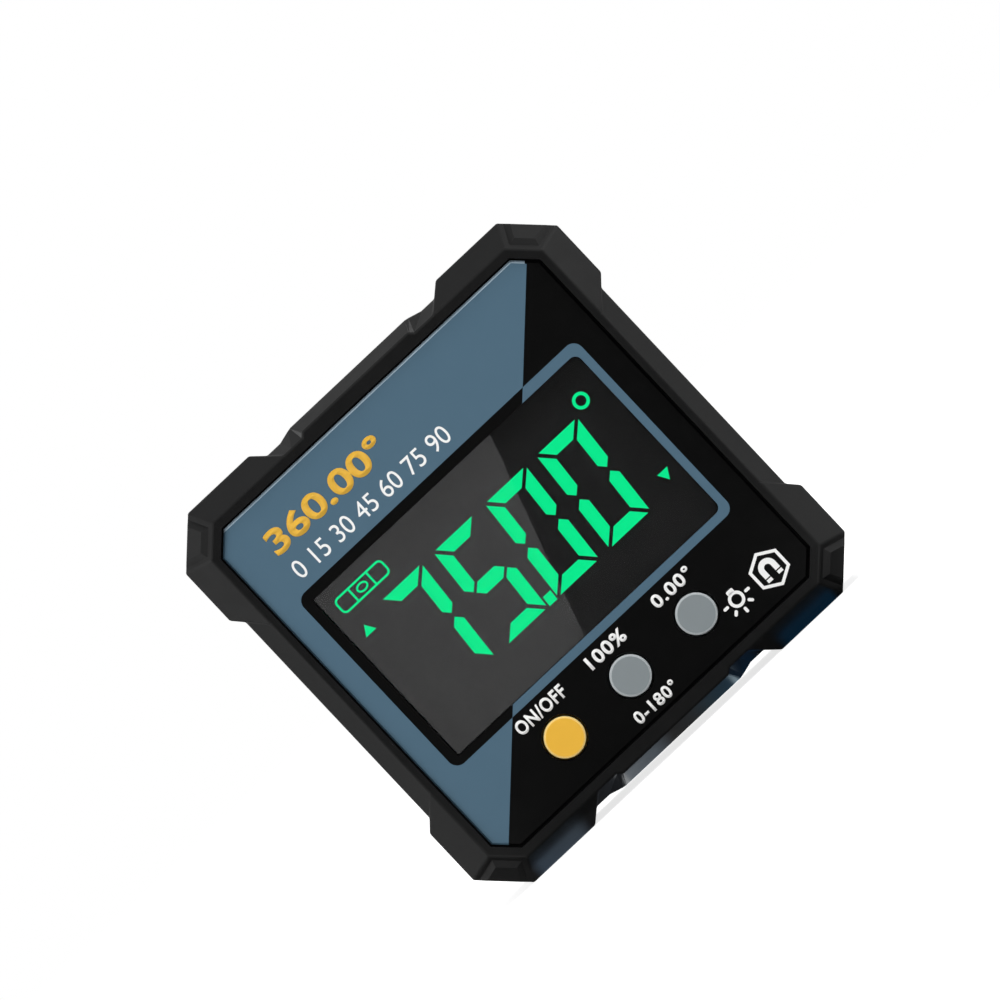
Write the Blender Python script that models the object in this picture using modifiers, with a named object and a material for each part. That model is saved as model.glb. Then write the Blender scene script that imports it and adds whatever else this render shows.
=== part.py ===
# Digital angle gauge: a pocket inclinometer with a backlit display, three push
# buttons and a magnetic base. It stands on its two base feet with the display
# towards -Y and +Z up, and its origin is at the bottom centre of its box.
# The pieces hang from one empty at the middle of the case, so every position
# below is measured from there: x to the right, y to the rear and z upwards.

from math import cos, pi, radians, sin, sqrt

import bmesh
import bpy
from mathutils import Matrix, Vector

MM = 0.001

# Clearances
GAP = 0.3 * MM  # between two pieces that seat on each other
PANEL_GAP = 0.25 * MM  # round the printed panel in its recess
SEAM_GAP = 0.25 * MM  # parting line between the two shells

# Outside of the case
CORNER_CUT = 5.05 * MM
FOOT_LENGTH = 9.85 * MM  # flat of a foot along the base and the top
SIDE_FOOT_LENGTH = 7.55 * MM  # the same along the two sides
END_RECESS = 1.45 * MM  # depth of the recess between the feet, base and top
SIDE_RECESS = 1.25 * MM
RAMP_RUN = 1.1  # run of the ramp at a foot's end for each unit of its height
PAD_HALF_LENGTH = 9.2 * MM  # pad in the middle of the base and of the top
PAD_DROP = 0.9 * MM  # how far the pad stays below the feet
PAD_STEP = 0.55 * MM  # width of the bevelled step at a pad's end
PAD_STEP_DROP = 0.1 * MM  # what is left of the step's height at the wall
PAD_RAMP = 1.65 * MM  # length of the ramp from the step to the recess
SLOPE_DEPTH = 3.0 * MM  # depth of the sloped frame, front and rear
SLOPE_SIDE = 3.35 * MM  # width of the slope on the sides
SLOPE_END = 2.85 * MM  # width of the slope on the base and the top
RIM_SIDE = 0.9 * MM  # flat rim beside the panel
RIM_END = 1.2 * MM  # flat rim below and above the panel
RIM_CORNER_CUT = 3.15 * MM
RIM_FLARE = 0.55 * MM  # the rim grows by this much along a pad
PAD_TAPER = 0.5  # how far a pad narrows for each unit of its slope
EDGE_ROUND = 0.18 * MM
SMALL_EDGE = 0.15 * MM  # on small turned pieces
SHELL_WALL = 1.8 * MM
SEAM_FROM_FRONT = 11.0 * MM

# Raised bosses in the pockets on the four front corners
POCKET_DEPTH = 0.5 * MM
POCKET_MARGIN = 0.2 * MM
GROOVE_WIDTH = 0.65 * MM  # at the boss's two ends
GROOVE_RUN = 1.0 * MM  # between the rim and the boss, measured down the slope
BOSS_BEVEL = 0.75 * MM
BOSS_SINK = 0.05 * MM

# Printed panel and window
PANEL_TOP = 13.5 * MM  # panel above the window
PANEL_BOTTOM = 6.0 * MM  # panel below the line of the buttons
PANEL_CORNER_CUT = 2.6 * MM
PANEL_SINK = 0.6 * MM  # face of the panel behind the rim
PANEL_THICKNESS = 0.8 * MM
PANEL_EDGE = 0.2 * MM
WINDOW_WIDTH = 42.45 * MM
WINDOW_HEIGHT = 25.0 * MM
WINDOW_RADIUS = 0.95 * MM  # its two right corners, the left ones are square
LENS_FLANGE = 1.05 * MM  # width of the flange that holds the lens
LENS_FLANGE_THICKNESS = 0.8 * MM
LENS_SINK = 0.05 * MM
LEDGE_THICKNESS = 0.9 * MM  # wall left behind the lens's flange

# Display
GLASS_OVERLAP = 1.4 * MM  # glass hidden behind the ledge, each side
GLASS_SHEET = 0.8 * MM
GLASS_STEP = 2.6 * MM  # contact strip left bare along the bottom of the front sheet
FRAME_WALL = 0.8 * MM
GUIDE_THICKNESS = 1.8 * MM
LED_LENGTH = 1.6 * MM
LED_WIDTH = 3.0 * MM
RUBBER_WIDTH = 1.5 * MM

# Circuit board
BOARD_THICKNESS = 1.2 * MM
BOARD_MARGIN = 2.3 * MM  # from the case's inner wall
BOARD_BOSS_RADIUS = 2.0 * MM
BOARD_BOSS_DROP = 1.0 * MM  # lower bosses below the line of the buttons
BOARD_BOSS_TOP_X = 14.0 * MM
BOARD_BOSS_INSET = 3.75 * MM  # upper bosses below the board's upper edge
PART_SPACING = 2.5 * MM  # between the parts on the board
PART_HEADROOM = 1.0 * MM  # between the tallest of them and the battery bay
CHIP_SIZE = 9.0 * MM
CHIP_HEIGHT = 1.4 * MM
SENSOR_SIZE = 6.5 * MM
SENSOR_HEIGHT = 2.2 * MM
CRYSTAL_DIAMETER = 2.0 * MM
CRYSTAL_LENGTH = 6.2 * MM
CAPACITOR_DIAMETER = 4.0 * MM
CAPACITOR_HEIGHT = 3.8 * MM

# Buttons and their switches
BUTTON_DIAMETER = 5.0 * MM
BUTTON_PITCH = 10.6 * MM
BUTTON_SPACE = 0.9 * MM  # between a button's flange and the display's frame
BUTTON_PROUD = 0.4 * MM  # in front of the panel
BUTTON_EDGE = 0.25 * MM
BUTTON_FLANGE = 0.8 * MM  # width of the flange behind the wall
BUTTON_FLANGE_THICKNESS = 0.8 * MM
BUTTON_TRAVEL = 0.4 * MM
PLUNGER_DIAMETER = 2.2 * MM
SWITCH_SIZE = 4.6 * MM
SWITCH_FLOOR = 0.4 * MM  # left under the plunger's well

# Batteries and their bay
CELL_DIAMETER = 10.5 * MM
CELL_LENGTH = 44.5 * MM
CELL_EDGE = 0.35 * MM
CELL_SPACE = 0.4 * MM  # between the two cells
NUB_DIAMETER = 3.8 * MM
NUB_HEIGHT = 1.0 * MM
SPRING_LENGTH = 2.6 * MM
SPRING_WIRE = 0.5 * MM
SPRING_BASE_DIAMETER = 7.0 * MM
SPRING_TIP_DIAMETER = 4.2 * MM
SPRING_TURNS = 2.5
CONTACT_THICKNESS = 0.4 * MM
CONTACT_SIZE = 8.0 * MM
CONTACT_RADIUS = 1.0 * MM
TAIL_WIDTH = 2.0 * MM
BAY_WALL = 1.2 * MM
BAY_SIDE_SPACE = 1.05 * MM  # between the bay and the case's side walls
RIB_WIDTH = 1.0 * MM
RIB_HEIGHT = 2.0 * MM
RIB_INSET = 8.0 * MM  # from the bay's end walls
BACK_WALL = 2.4 * MM
DOOR_THICKNESS = 1.4 * MM
DOOR_LEDGE = 0.7 * MM  # the door covers this much of the bay's wall
DOOR_RADIUS = 1.2 * MM
TONGUE_WIDTH = 8.0 * MM
TONGUE_THICKNESS = 0.8 * MM
TONGUE_LENGTH = 2.0 * MM
TONGUE_SPAN = 28.0 * MM
GRIP_COUNT = 4
GRIP_LENGTH = 10.0 * MM
GRIP_PITCH = 1.5 * MM
GRIP_WIDTH = 0.7 * MM
GRIP_DEPTH = 0.4 * MM
SCOOP_RADIUS = 7.0 * MM
SCOOP_DEPTH = 1.2 * MM

# Screws, magnets and the seam's lip
CASE_SCREW_HEAD = 3.6 * MM
CASE_SCREW_HEAD_HEIGHT = 1.4 * MM
CASE_SCREW_SHANK = 1.9 * MM
CASE_SCREW_LENGTH = 7.5 * MM
BOARD_SCREW_HEAD = 3.2 * MM
BOARD_SCREW_HEAD_HEIGHT = 1.1 * MM
BOARD_SCREW_SHANK = 1.5 * MM
BOARD_SCREW_LENGTH = 4.2 * MM
HEAD_FLAT_SHARE = 0.6  # flat middle of a screw's head, of its radius
HEAD_DOME_SHARE = 0.33  # height of the dome, of the head's height
DRIVE_LENGTH_SHARE = 0.55  # arm of the cross recess, of the head's radius
DRIVE_WIDTH_SHARE = 0.14
DRIVE_FLOOR_SHARE = 0.45  # of the head's height
POINT_SHARE = 0.33  # blunt end of a screw, of its shank
BOSS_WALL = 1.2 * MM
POST_FLOOR = 1.6 * MM  # under a case screw's head
BOSS_INSET = 4.6 * MM  # from the case's inner wall to a case screw
MAGNET_DIAMETER = 8.0 * MM
MAGNET_THICKNESS = 2.0 * MM
MAGNET_EDGE = 0.25 * MM
MAGNET_SINK = 0.1 * MM
LIP_THICKNESS = 0.8 * MM
LIP_LENGTH = 1.0 * MM

# Steps round a full turn
FINE_TURN = 40
PLAIN_TURN = 28
SMALL_TURN = 16

# Holes and bosses
CASE_HOLE_RADIUS = CASE_SCREW_SHANK / 2 + GAP
CASE_BOSS_RADIUS = CASE_HOLE_RADIUS + BOSS_WALL
COUNTERBORE_RADIUS = CASE_SCREW_HEAD / 2 + GAP
POST_RADIUS = COUNTERBORE_RADIUS + BOSS_WALL
BUTTON_HOLE_RADIUS = BUTTON_DIAMETER / 2 + GAP
BUTTON_FLANGE_RADIUS = BUTTON_DIAMETER / 2 + BUTTON_FLANGE

# The battery bay
CELL_Z = (CELL_DIAMETER + CELL_SPACE) / 2
END_STACK = 2 * GAP + CONTACT_THICKNESS  # from the bay's end wall to a cell's nub
SPRING_STACK = END_STACK + SPRING_LENGTH + GAP
BAY_HALF_LENGTH = (CELL_LENGTH + END_STACK + SPRING_STACK) / 2
BAY_HALF_HEIGHT = CELL_Z + CELL_DIAMETER / 2 + GAP
DOOR_HALF_LENGTH = BAY_HALF_LENGTH + DOOR_LEDGE
DOOR_HALF_HEIGHT = BAY_HALF_HEIGHT + DOOR_LEDGE

# The case's width: the bay, the display or the row of buttons sets it, whichever needs most
FRAME_REACH = GAP + GLASS_OVERLAP + GAP + FRAME_WALL  # display's frame past the window's edge
BOARD_BOSS_LOW_X = BUTTON_PITCH + BUTTON_FLANGE_RADIUS + BOARD_BOSS_RADIUS + 2 * GAP
BAY_ROOM = BAY_HALF_LENGTH + BAY_WALL + BAY_SIDE_SPACE
DISPLAY_ROOM = WINDOW_WIDTH / 2 + FRAME_REACH + GAP
BUTTON_ROOM = BOARD_BOSS_LOW_X + BOARD_BOSS_RADIUS + GAP + POST_RADIUS + BOSS_INSET
CAVITY_HALF_WIDTH = max(BAY_ROOM, DISPLAY_ROOM, BUTTON_ROOM)
SIDE_FLOOR = CAVITY_HALF_WIDTH + SHELL_WALL
HALF_WIDTH = SIDE_FLOOR + SIDE_RECESS
PANEL_HALF_WIDTH = HALF_WIDTH - SLOPE_SIDE - RIM_SIDE

# The case's height: the window with the panel above it, and the buttons below it
BUTTON_BELOW_WINDOW = FRAME_REACH + BUTTON_SPACE + BUTTON_FLANGE_RADIUS
WINDOW_BOTTOM = BUTTON_BELOW_WINDOW + PANEL_BOTTOM  # panel below the window
PANEL_HALF_HEIGHT = (PANEL_TOP + WINDOW_HEIGHT + WINDOW_BOTTOM) / 2
WINDOW_DROP = (PANEL_TOP - WINDOW_BOTTOM) / 2  # middle of the window below the middle of the case
BUTTON_DROP = WINDOW_DROP + WINDOW_HEIGHT / 2 + BUTTON_BELOW_WINDOW
HALF_HEIGHT = PANEL_HALF_HEIGHT + RIM_END + SLOPE_END
END_FLOOR = HALF_HEIGHT - END_RECESS
CAVITY_HALF_HEIGHT = END_FLOOR - SHELL_WALL

# The case's depth: panel, window, display and board in front, battery bay and door behind
TALLEST_PART = max(CHIP_HEIGHT, SENSOR_HEIGHT, CRYSTAL_DIAMETER, CAPACITOR_HEIGHT)
FRONT_STACK = (
    PANEL_SINK + PANEL_THICKNESS + GAP + LENS_FLANGE_THICKNESS + GAP + LEDGE_THICKNESS
    + GAP + 2 * GLASS_SHEET + GAP + GUIDE_THICKNESS + GAP + BOARD_THICKNESS + GAP
)
REAR_STACK = TALLEST_PART + PART_HEADROOM + BAY_WALL + GAP + CELL_DIAMETER + GAP + DOOR_THICKNESS
BODY_DEPTH = FRONT_STACK + REAR_STACK

# Places along the depth, from the front to the rear
FRONT_Y = -BODY_DEPTH / 2
REAR_Y = BODY_DEPTH / 2
SEAM_Y = FRONT_Y + SEAM_FROM_FRONT
PANEL_FACE_Y = FRONT_Y + PANEL_SINK
PANEL_BACK_Y = PANEL_FACE_Y + PANEL_THICKNESS
PANEL_SEAT_Y = PANEL_BACK_Y + GAP
LENS_BACK_Y = PANEL_SEAT_Y + LENS_FLANGE_THICKNESS
LEDGE_Y = LENS_BACK_Y + GAP
WALL_BACK_Y = LEDGE_Y + LEDGE_THICKNESS
GLASS_Y = WALL_BACK_Y + GAP
GLASS_STEP_Y = GLASS_Y + GLASS_SHEET
GLASS_BACK_Y = GLASS_STEP_Y + GLASS_SHEET
GUIDE_Y = GLASS_BACK_Y + GAP
GUIDE_BACK_Y = GUIDE_Y + GUIDE_THICKNESS
BOARD_Y = GUIDE_BACK_Y + GAP
BOARD_BACK_Y = BOARD_Y + BOARD_THICKNESS
PARTS_Y = BOARD_BACK_Y + GAP
BACK_INNER_Y = REAR_Y - BACK_WALL
DOOR_Y = REAR_Y - DOOR_THICKNESS
CELL_Y = DOOR_Y - GAP - CELL_DIAMETER / 2
BAY_FLOOR_Y = CELL_Y - CELL_DIAMETER / 2 - GAP
HEAD_FLOOR_Y = SEAM_Y + SEAM_GAP + POST_FLOOR
CASE_SCREW_Y = HEAD_FLOOR_Y + GAP
CASE_PILOT_Y = CASE_SCREW_Y - CASE_SCREW_LENGTH - GAP
BOARD_PILOT_Y = PARTS_Y - BOARD_SCREW_LENGTH - GAP

# Places across the width and the height
FOOT_HALF_SPAN = HALF_WIDTH - CORNER_CUT - FOOT_LENGTH
SIDE_FOOT_HALF_SPAN = HALF_HEIGHT - CORNER_CUT - SIDE_FOOT_LENGTH
CORNER_SUM = HALF_WIDTH + HALF_HEIGHT - CORNER_CUT
CAVITY_CUT = CAVITY_HALF_WIDTH + CAVITY_HALF_HEIGHT - CORNER_SUM + SHELL_WALL * sqrt(2)
APERTURE_HALF_WIDTH = WINDOW_WIDTH / 2 + GAP
APERTURE_HALF_HEIGHT = WINDOW_HEIGHT / 2 + GAP
GLASS_HALF_WIDTH = APERTURE_HALF_WIDTH + GLASS_OVERLAP
GLASS_HALF_HEIGHT = APERTURE_HALF_HEIGHT + GLASS_OVERLAP
CASE_SCREW_X = CAVITY_HALF_WIDTH - BOSS_INSET
CASE_SCREW_Z = CAVITY_HALF_HEIGHT - BOSS_INSET
BOARD_HALF_WIDTH = CAVITY_HALF_WIDTH - BOARD_MARGIN
BOARD_HALF_HEIGHT = CAVITY_HALF_HEIGHT - BOARD_MARGIN
BOARD_BOSS_LOW_Z = -BUTTON_DROP - BOARD_BOSS_DROP
BOARD_BOSS_TOP_Z = BOARD_HALF_HEIGHT - BOARD_BOSS_INSET
BUTTONS = {"power": -BUTTON_PITCH, "hold": 0.0, "zero": BUTTON_PITCH}
SHORT = 1.0 * MM  # how far a cutter runs past the face that it opens


# Scene, collections and materials


def clear_scene():
    for item in list(bpy.data.objects):
        bpy.data.objects.remove(item, do_unlink=True)


def new_collection(name):
    made = bpy.data.collections.new(name)
    bpy.context.scene.collection.children.link(made)
    return made


clear_scene()
PARTS = new_collection("digital_angle_gauge")
CUTTERS = new_collection("cutters")
MIDDLE = bpy.data.objects.new("case_middle", None)
MIDDLE.location = (0, 0, HALF_HEIGHT)
MIDDLE.empty_display_size = 10 * MM
PARTS.objects.link(MIDDLE)


def plain_material(name, colour, roughness, metallic=0.0, transmission=0.0):
    made = bpy.data.materials.new(name)
    made.use_nodes = True
    shader = made.node_tree.nodes["Principled BSDF"]
    shader.inputs["Base Color"].default_value = (*colour, 1)
    shader.inputs["Roughness"].default_value = roughness
    shader.inputs["Metallic"].default_value = metallic
    shader.inputs["Transmission Weight"].default_value = transmission
    made.diffuse_color = (*colour, 1)
    return made


SHELL_BLACK = plain_material("case_black", (0.012, 0.012, 0.013), 0.35)
PANEL_BLACK = plain_material("panel_black", (0.005, 0.005, 0.005), 0.4)
PANEL_BLUE = plain_material("panel_blue", (0.078, 0.141, 0.195), 0.4)
WINDOW_CLEAR = plain_material("window_clear", (0.9, 0.9, 0.9), 0.03, transmission=1.0)
DISPLAY_DARK = plain_material("display_glass", (0.012, 0.012, 0.012), 0.08)
GUIDE_WHITE = plain_material("light_guide", (0.75, 0.8, 0.78), 0.3)
LAMP_YELLOW = plain_material("lamp", (0.85, 0.8, 0.45), 0.3)
FRAME_WHITE = plain_material("display_frame", (0.6, 0.6, 0.58), 0.5)
RUBBER_GREY = plain_material("contact_rubber", (0.06, 0.06, 0.065), 0.8)
BOARD_GREEN = plain_material("board", (0.02, 0.12, 0.05), 0.45)
CHIP_BLACK = plain_material("chip", (0.01, 0.01, 0.011), 0.5)
CAN_METAL = plain_material("can_metal", (0.6, 0.6, 0.6), 0.3, metallic=1.0)
SLEEVE_BLUE = plain_material("capacitor_sleeve", (0.02, 0.03, 0.08), 0.35)
BUTTON_YELLOW = plain_material("button_yellow", (0.8, 0.46, 0.05), 0.45)
BUTTON_GREY = plain_material("button_grey", (0.23, 0.26, 0.27), 0.45)
PLUNGER_BLACK = plain_material("plunger", (0.015, 0.015, 0.015), 0.5)
SWITCH_STEEL = plain_material("switch_steel", (0.5, 0.5, 0.5), 0.35, metallic=1.0)
CELL_SILVER = plain_material("cell_sleeve", (0.35, 0.36, 0.38), 0.3, metallic=0.8)
SPRING_STEEL = plain_material("spring_steel", (0.62, 0.62, 0.6), 0.25, metallic=1.0)
CONTACT_NICKEL = plain_material("contact_nickel", (0.66, 0.63, 0.57), 0.3, metallic=1.0)
MAGNET_NICKEL = plain_material("magnet_nickel", (0.7, 0.7, 0.7), 0.2, metallic=1.0)
SCREW_STEEL = plain_material("screw_steel", (0.28, 0.28, 0.29), 0.35, metallic=1.0)


# Helpers that make solids


def add_object(name, data, material=None, collection=None):
    item = bpy.data.objects.new(name, data)
    (collection or PARTS).objects.link(item)
    item.parent = MIDDLE
    if material:
        data.materials.append(material)
    return item


def as_cutter(item):
    item.hide_render = True
    item.display_type = "WIRE"
    for holder in item.users_collection:
        holder.objects.unlink(item)
    CUTTERS.objects.link(item)
    return item


def mesh_of(item):
    """A new mesh of the object as its modifiers leave it."""
    bpy.context.view_layer.update()
    graph = bpy.context.evaluated_depsgraph_get()
    return bpy.data.meshes.new_from_object(item.evaluated_get(graph))


def tidy_mesh(mesh, join_flat=False):
    edit = bmesh.new()
    edit.from_mesh(mesh)
    bmesh.ops.remove_doubles(edit, verts=edit.verts, dist=0.001 * MM)
    if join_flat:
        bmesh.ops.dissolve_limit(edit, angle_limit=radians(1), verts=edit.verts, edges=edit.edges)
    bmesh.ops.recalc_face_normals(edit, faces=edit.faces)
    edit.to_mesh(mesh)
    edit.free()


AXES = {
    "X": Matrix(((0, 0, 1), (1, 0, 0), (0, 1, 0))),
    "Y": Matrix(((1, 0, 0), (0, 0, -1), (0, 1, 0))),
    "Z": Matrix.Identity(3),
}


def prism(name, outlines, start, end, material=None, axis="Y"):
    """Flat outlines, filled and extruded along one axis from start to end.

    An outline inside another is a hole. Along Y the outlines are in x and z,
    along X in y and z, and along Z in x and y.
    """
    curve = bpy.data.curves.new(name + "_outline", "CURVE")
    curve.dimensions = "2D"
    curve.fill_mode = "BOTH"
    curve.extrude = abs(end - start) / 2
    for outline in outlines:
        spline = curve.splines.new("POLY")
        spline.points.add(len(outline) - 1)
        for point, (across, along) in zip(spline.points, outline):
            point.co = (across, along, 0, 1)
        spline.use_cyclic_u = True
    guide = bpy.data.objects.new(name + "_outline", curve)
    PARTS.objects.link(guide)
    mesh = mesh_of(guide)
    bpy.data.objects.remove(guide, do_unlink=True)
    bpy.data.curves.remove(curve)
    middle = Vector([(start + end) / 2 if letter == axis else 0 for letter in "XYZ"])
    mesh.transform(Matrix.Translation(middle) @ AXES[axis].to_4x4())
    tidy_mesh(mesh, join_flat=len(outlines) == 1)
    mesh.name = name
    return add_object(name, mesh, material)


def box(name, low, high, material=None):
    edit = bmesh.new()
    size = Vector(high) - Vector(low)
    middle = (Vector(high) + Vector(low)) / 2
    place = Matrix.Translation(middle) @ Matrix.Diagonal((*size, 1))
    bmesh.ops.create_cube(edit, size=1, matrix=place)
    mesh = bpy.data.meshes.new(name)
    edit.to_mesh(mesh)
    edit.free()
    return add_object(name, mesh, material)


def loft(name, sections, material=None):
    """Closed solid through sections of equal point counts, each a list of 3-D points."""
    edit = bmesh.new()
    rings = [[edit.verts.new(point) for point in section] for section in sections]
    for near, far in zip(rings, rings[1:]):
        for i, corner in enumerate(near):
            after = (i + 1) % len(near)
            edit.faces.new((corner, near[after], far[after], far[i]))
    bmesh.ops.remove_doubles(edit, verts=edit.verts, dist=0.001 * MM)
    open_edges = [edge for edge in edit.edges if edge.is_boundary]
    bmesh.ops.holes_fill(edit, edges=open_edges, sides=0)
    bmesh.ops.recalc_face_normals(edit, faces=edit.faces)
    mesh = bpy.data.meshes.new(name)
    edit.to_mesh(mesh)
    edit.free()
    return add_object(name, mesh, material)


def turned(name, profile, place, direction, material=None, steps=PLAIN_TURN):
    """Profile of (radius, height) from its top down, turned about direction at place."""
    mesh = bpy.data.meshes.new(name)
    ends = [(i, i + 1) for i in range(len(profile) - 1)]
    mesh.from_pydata([(radius, 0, height) for radius, height in profile], ends, [])
    item = add_object(name, mesh, material)
    item.location = place
    item.rotation_euler = Vector(direction).to_track_quat("Z", "Y").to_euler()
    screw = item.modifiers.new("turn", "SCREW")
    screw.steps = steps
    screw.render_steps = steps
    screw.use_merge_vertices = True
    screw.merge_threshold = 0.01 * MM
    return shade_round(settled(item))


def disc_profile(radius, height, edge):
    """Profile of a plain disc or rod with a chamfer at both ends."""
    return [
        (0, height), (radius - edge, height), (radius, height - edge),
        (radius, edge), (radius - edge, 0), (0, 0),
    ]


def boolean(target, tool, operation):
    change = target.modifiers.new(tool.name, "BOOLEAN")
    change.operation = operation
    change.object = as_cutter(tool)
    return target


def cut(target, *tools):
    for tool in tools:
        boolean(target, tool, "DIFFERENCE")


def join(target, *tools):
    for tool in tools:
        boolean(target, tool, "UNION")


def soften(item, width, segments=1, angle=40):
    bevel = item.modifiers.new("soft_edges", "BEVEL")
    bevel.width = width
    bevel.segments = segments
    bevel.limit_method = "ANGLE"
    bevel.angle_limit = radians(angle)
    return item


def shade_round(item, angle=35):
    item.data.shade_smooth()
    item.data.set_sharp_from_angle(angle=radians(angle))
    return item


def settled(item):
    """The object with its modifiers applied."""
    mesh = mesh_of(item)
    item.modifiers.clear()
    item.data = mesh
    return item


# Outlines


def rectangle(half_width, half_height, across=0.0, along=0.0):
    return [
        (across - half_width, along - half_height),
        (across + half_width, along - half_height),
        (across + half_width, along + half_height),
        (across - half_width, along + half_height),
    ]


def circle(radius, across=0.0, along=0.0, steps=SMALL_TURN):
    turn = 2 * pi / steps
    return [(across + radius * cos(i * turn), along + radius * sin(i * turn)) for i in range(steps)]


def octagon(half_width, half_height, cut_length):
    return full_turn([(half_width - cut_length, half_height), (half_width, half_height - cut_length)])


def full_turn(quarter):
    """The whole outline from its upper right quarter, given from the top to the side."""
    below = [(x, -z) for x, z in reversed(quarter)]
    left_below = [(-x, -z) for x, z in quarter]
    left_above = [(-x, z) for x, z in reversed(quarter)]
    return quarter + below + left_below + left_above


def rounded(half_width, half_height, radii, across=0.0, along=0.0, steps=6):
    """Rectangle with a radius for each corner: lower left, lower right, upper right, upper left."""
    signs = ((-1, -1), (1, -1), (1, 1), (-1, 1))
    points = []
    for i, ((side, end), radius) in enumerate(zip(signs, radii)):
        corner = (across + side * (half_width - radius), along + end * (half_height - radius))
        if radius == 0:
            points.append(corner)
            continue
        start = pi + i * pi / 2
        for j in range(steps + 1):
            angle = start + j * pi / 2 / steps
            points.append((corner[0] + radius * cos(angle), corner[1] + radius * sin(angle)))
    return points


def at_corners(half_span_x, half_span_z):
    return [(side * half_span_x, end * half_span_z) for side in (-1, 1) for end in (-1, 1)]


def case_screw_places():
    return at_corners(CASE_SCREW_X, CASE_SCREW_Z)


def board_screw_places():
    low = [(side * BOARD_BOSS_LOW_X, BOARD_BOSS_LOW_Z) for side in (-1, 1)]
    return low + [(side * BOARD_BOSS_TOP_X, BOARD_BOSS_TOP_Z) for side in (-1, 1)]


def circles(radius, places, steps=SMALL_TURN):
    return [circle(radius, *place, steps) for place in places]


def button_holes(steps):
    return circles(BUTTON_HOLE_RADIUS, [(x, -BUTTON_DROP) for x in BUTTONS.values()], steps)


# The case's outside: a rim, a sloped frame and a wall with four corner feet


def wall_outline():
    pad_z = HALF_HEIGHT - PAD_DROP
    step_end = PAD_HALF_LENGTH + PAD_STEP
    return full_turn([
        (PAD_HALF_LENGTH, pad_z),
        (step_end, pad_z - PAD_STEP_DROP),
        (step_end + PAD_RAMP, END_FLOOR),
        (FOOT_HALF_SPAN - END_RECESS * RAMP_RUN, END_FLOOR),
        (FOOT_HALF_SPAN, HALF_HEIGHT),
        (HALF_WIDTH - CORNER_CUT, HALF_HEIGHT),
        (HALF_WIDTH, HALF_HEIGHT - CORNER_CUT),
        (HALF_WIDTH, SIDE_FOOT_HALF_SPAN),
        (SIDE_FLOOR, SIDE_FOOT_HALF_SPAN - SIDE_RECESS * RAMP_RUN),
    ])


def rim_corner():
    """The rim's two corner points at the upper right."""
    rim_x = HALF_WIDTH - SLOPE_SIDE
    rim_z = HALF_HEIGHT - SLOPE_END
    return (rim_x - RIM_CORNER_CUT, rim_z), (rim_x, rim_z - RIM_CORNER_CUT)


def rim_outline():
    """The rim has one point for each point of the wall, and each foot's ramp ends in one point of it."""
    upper, lower = rim_corner()
    rim_x = lower[0]
    rim_z = upper[1]
    flare_end = PAD_HALF_LENGTH - (HALF_HEIGHT - PAD_DROP - rim_z - RIM_FLARE) * PAD_TAPER
    step_end = flare_end + PAD_STEP
    ramp_x = FOOT_HALF_SPAN - SLOPE_END * RAMP_RUN
    ramp_z = SIDE_FOOT_HALF_SPAN - SLOPE_SIDE * RAMP_RUN
    return full_turn([
        (flare_end, rim_z + RIM_FLARE),
        (step_end, rim_z),
        (step_end + PAD_RAMP, rim_z),
        (ramp_x, rim_z),
        (ramp_x, rim_z),
        upper,
        lower,
        (rim_x, ramp_z),
        (rim_x, ramp_z),
    ])


def at_depth(outline, y):
    return [(x, y, z) for x, z in outline]


def shell_body(name, rim_y, wall_y, seam_y):
    sections = (
        at_depth(rim_outline(), rim_y),
        at_depth(wall_outline(), wall_y),
        at_depth(wall_outline(), seam_y),
    )
    body = loft(name, sections, SHELL_BLACK)
    return soften(body, EDGE_ROUND, segments=2, angle=20)


def corner_pocket(side, end):
    """Pocket on a front corner's slope, less the raised boss that stays in it."""
    upper, lower = rim_corner()
    wall_upper = (HALF_WIDTH - CORNER_CUT, HALF_HEIGHT)
    wall_lower = (HALF_WIDTH, HALF_HEIGHT - CORNER_CUT)
    near = [Vector((side * x, FRONT_Y, end * z)) for x, z in (upper, lower)]
    far = [Vector((side * x, FRONT_Y + SLOPE_DEPTH, end * z)) for x, z in (wall_upper, wall_lower)]
    middle = (near[0] + near[1]) / 2
    across = (near[1] - near[0]).normalized()
    down = ((far[0] + far[1]) / 2 - middle).normalized()
    out = across.cross(down)
    if out.y > 0:
        out.negate()
    length = ((far[0] + far[1]) / 2 - middle).length
    near_half = (near[1] - near[0]).length / 2
    spread = ((far[1] - far[0]).length / 2 - near_half) / length

    def section(start, margin, height, past):
        """Trapezoid at one height over the slope, from start to past the wall."""
        stop = length + past
        corners = [(-1, start), (1, start), (1, stop), (-1, stop)]
        return [
            middle + across * sign * (near_half + spread * run - margin) + down * run + out * height
            for sign, run in corners
        ]

    name = f"{'right' if side > 0 else 'left'}_{'upper' if end > 0 else 'lower'}"
    edge = (POCKET_MARGIN, POCKET_MARGIN)
    floor = section(*edge, -POCKET_DEPTH, 2 * SHORT)
    pocket = loft("pocket_" + name, (floor, section(*edge, SHORT, 2 * SHORT)))
    foot = (POCKET_MARGIN + GROOVE_RUN, POCKET_MARGIN + GROOVE_WIDTH)
    below = POCKET_DEPTH - BOSS_SINK  # the bevel runs on under the pocket's floor
    base = section(*[distance - BOSS_BEVEL for distance in foot], -POCKET_DEPTH - below, 3 * SHORT)
    top = section(*[distance + BOSS_BEVEL for distance in foot], -BOSS_SINK, 3 * SHORT)
    boss = loft("boss_" + name, (base, top))
    cut(pocket, boss)
    return pocket


# Shells and battery door


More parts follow.
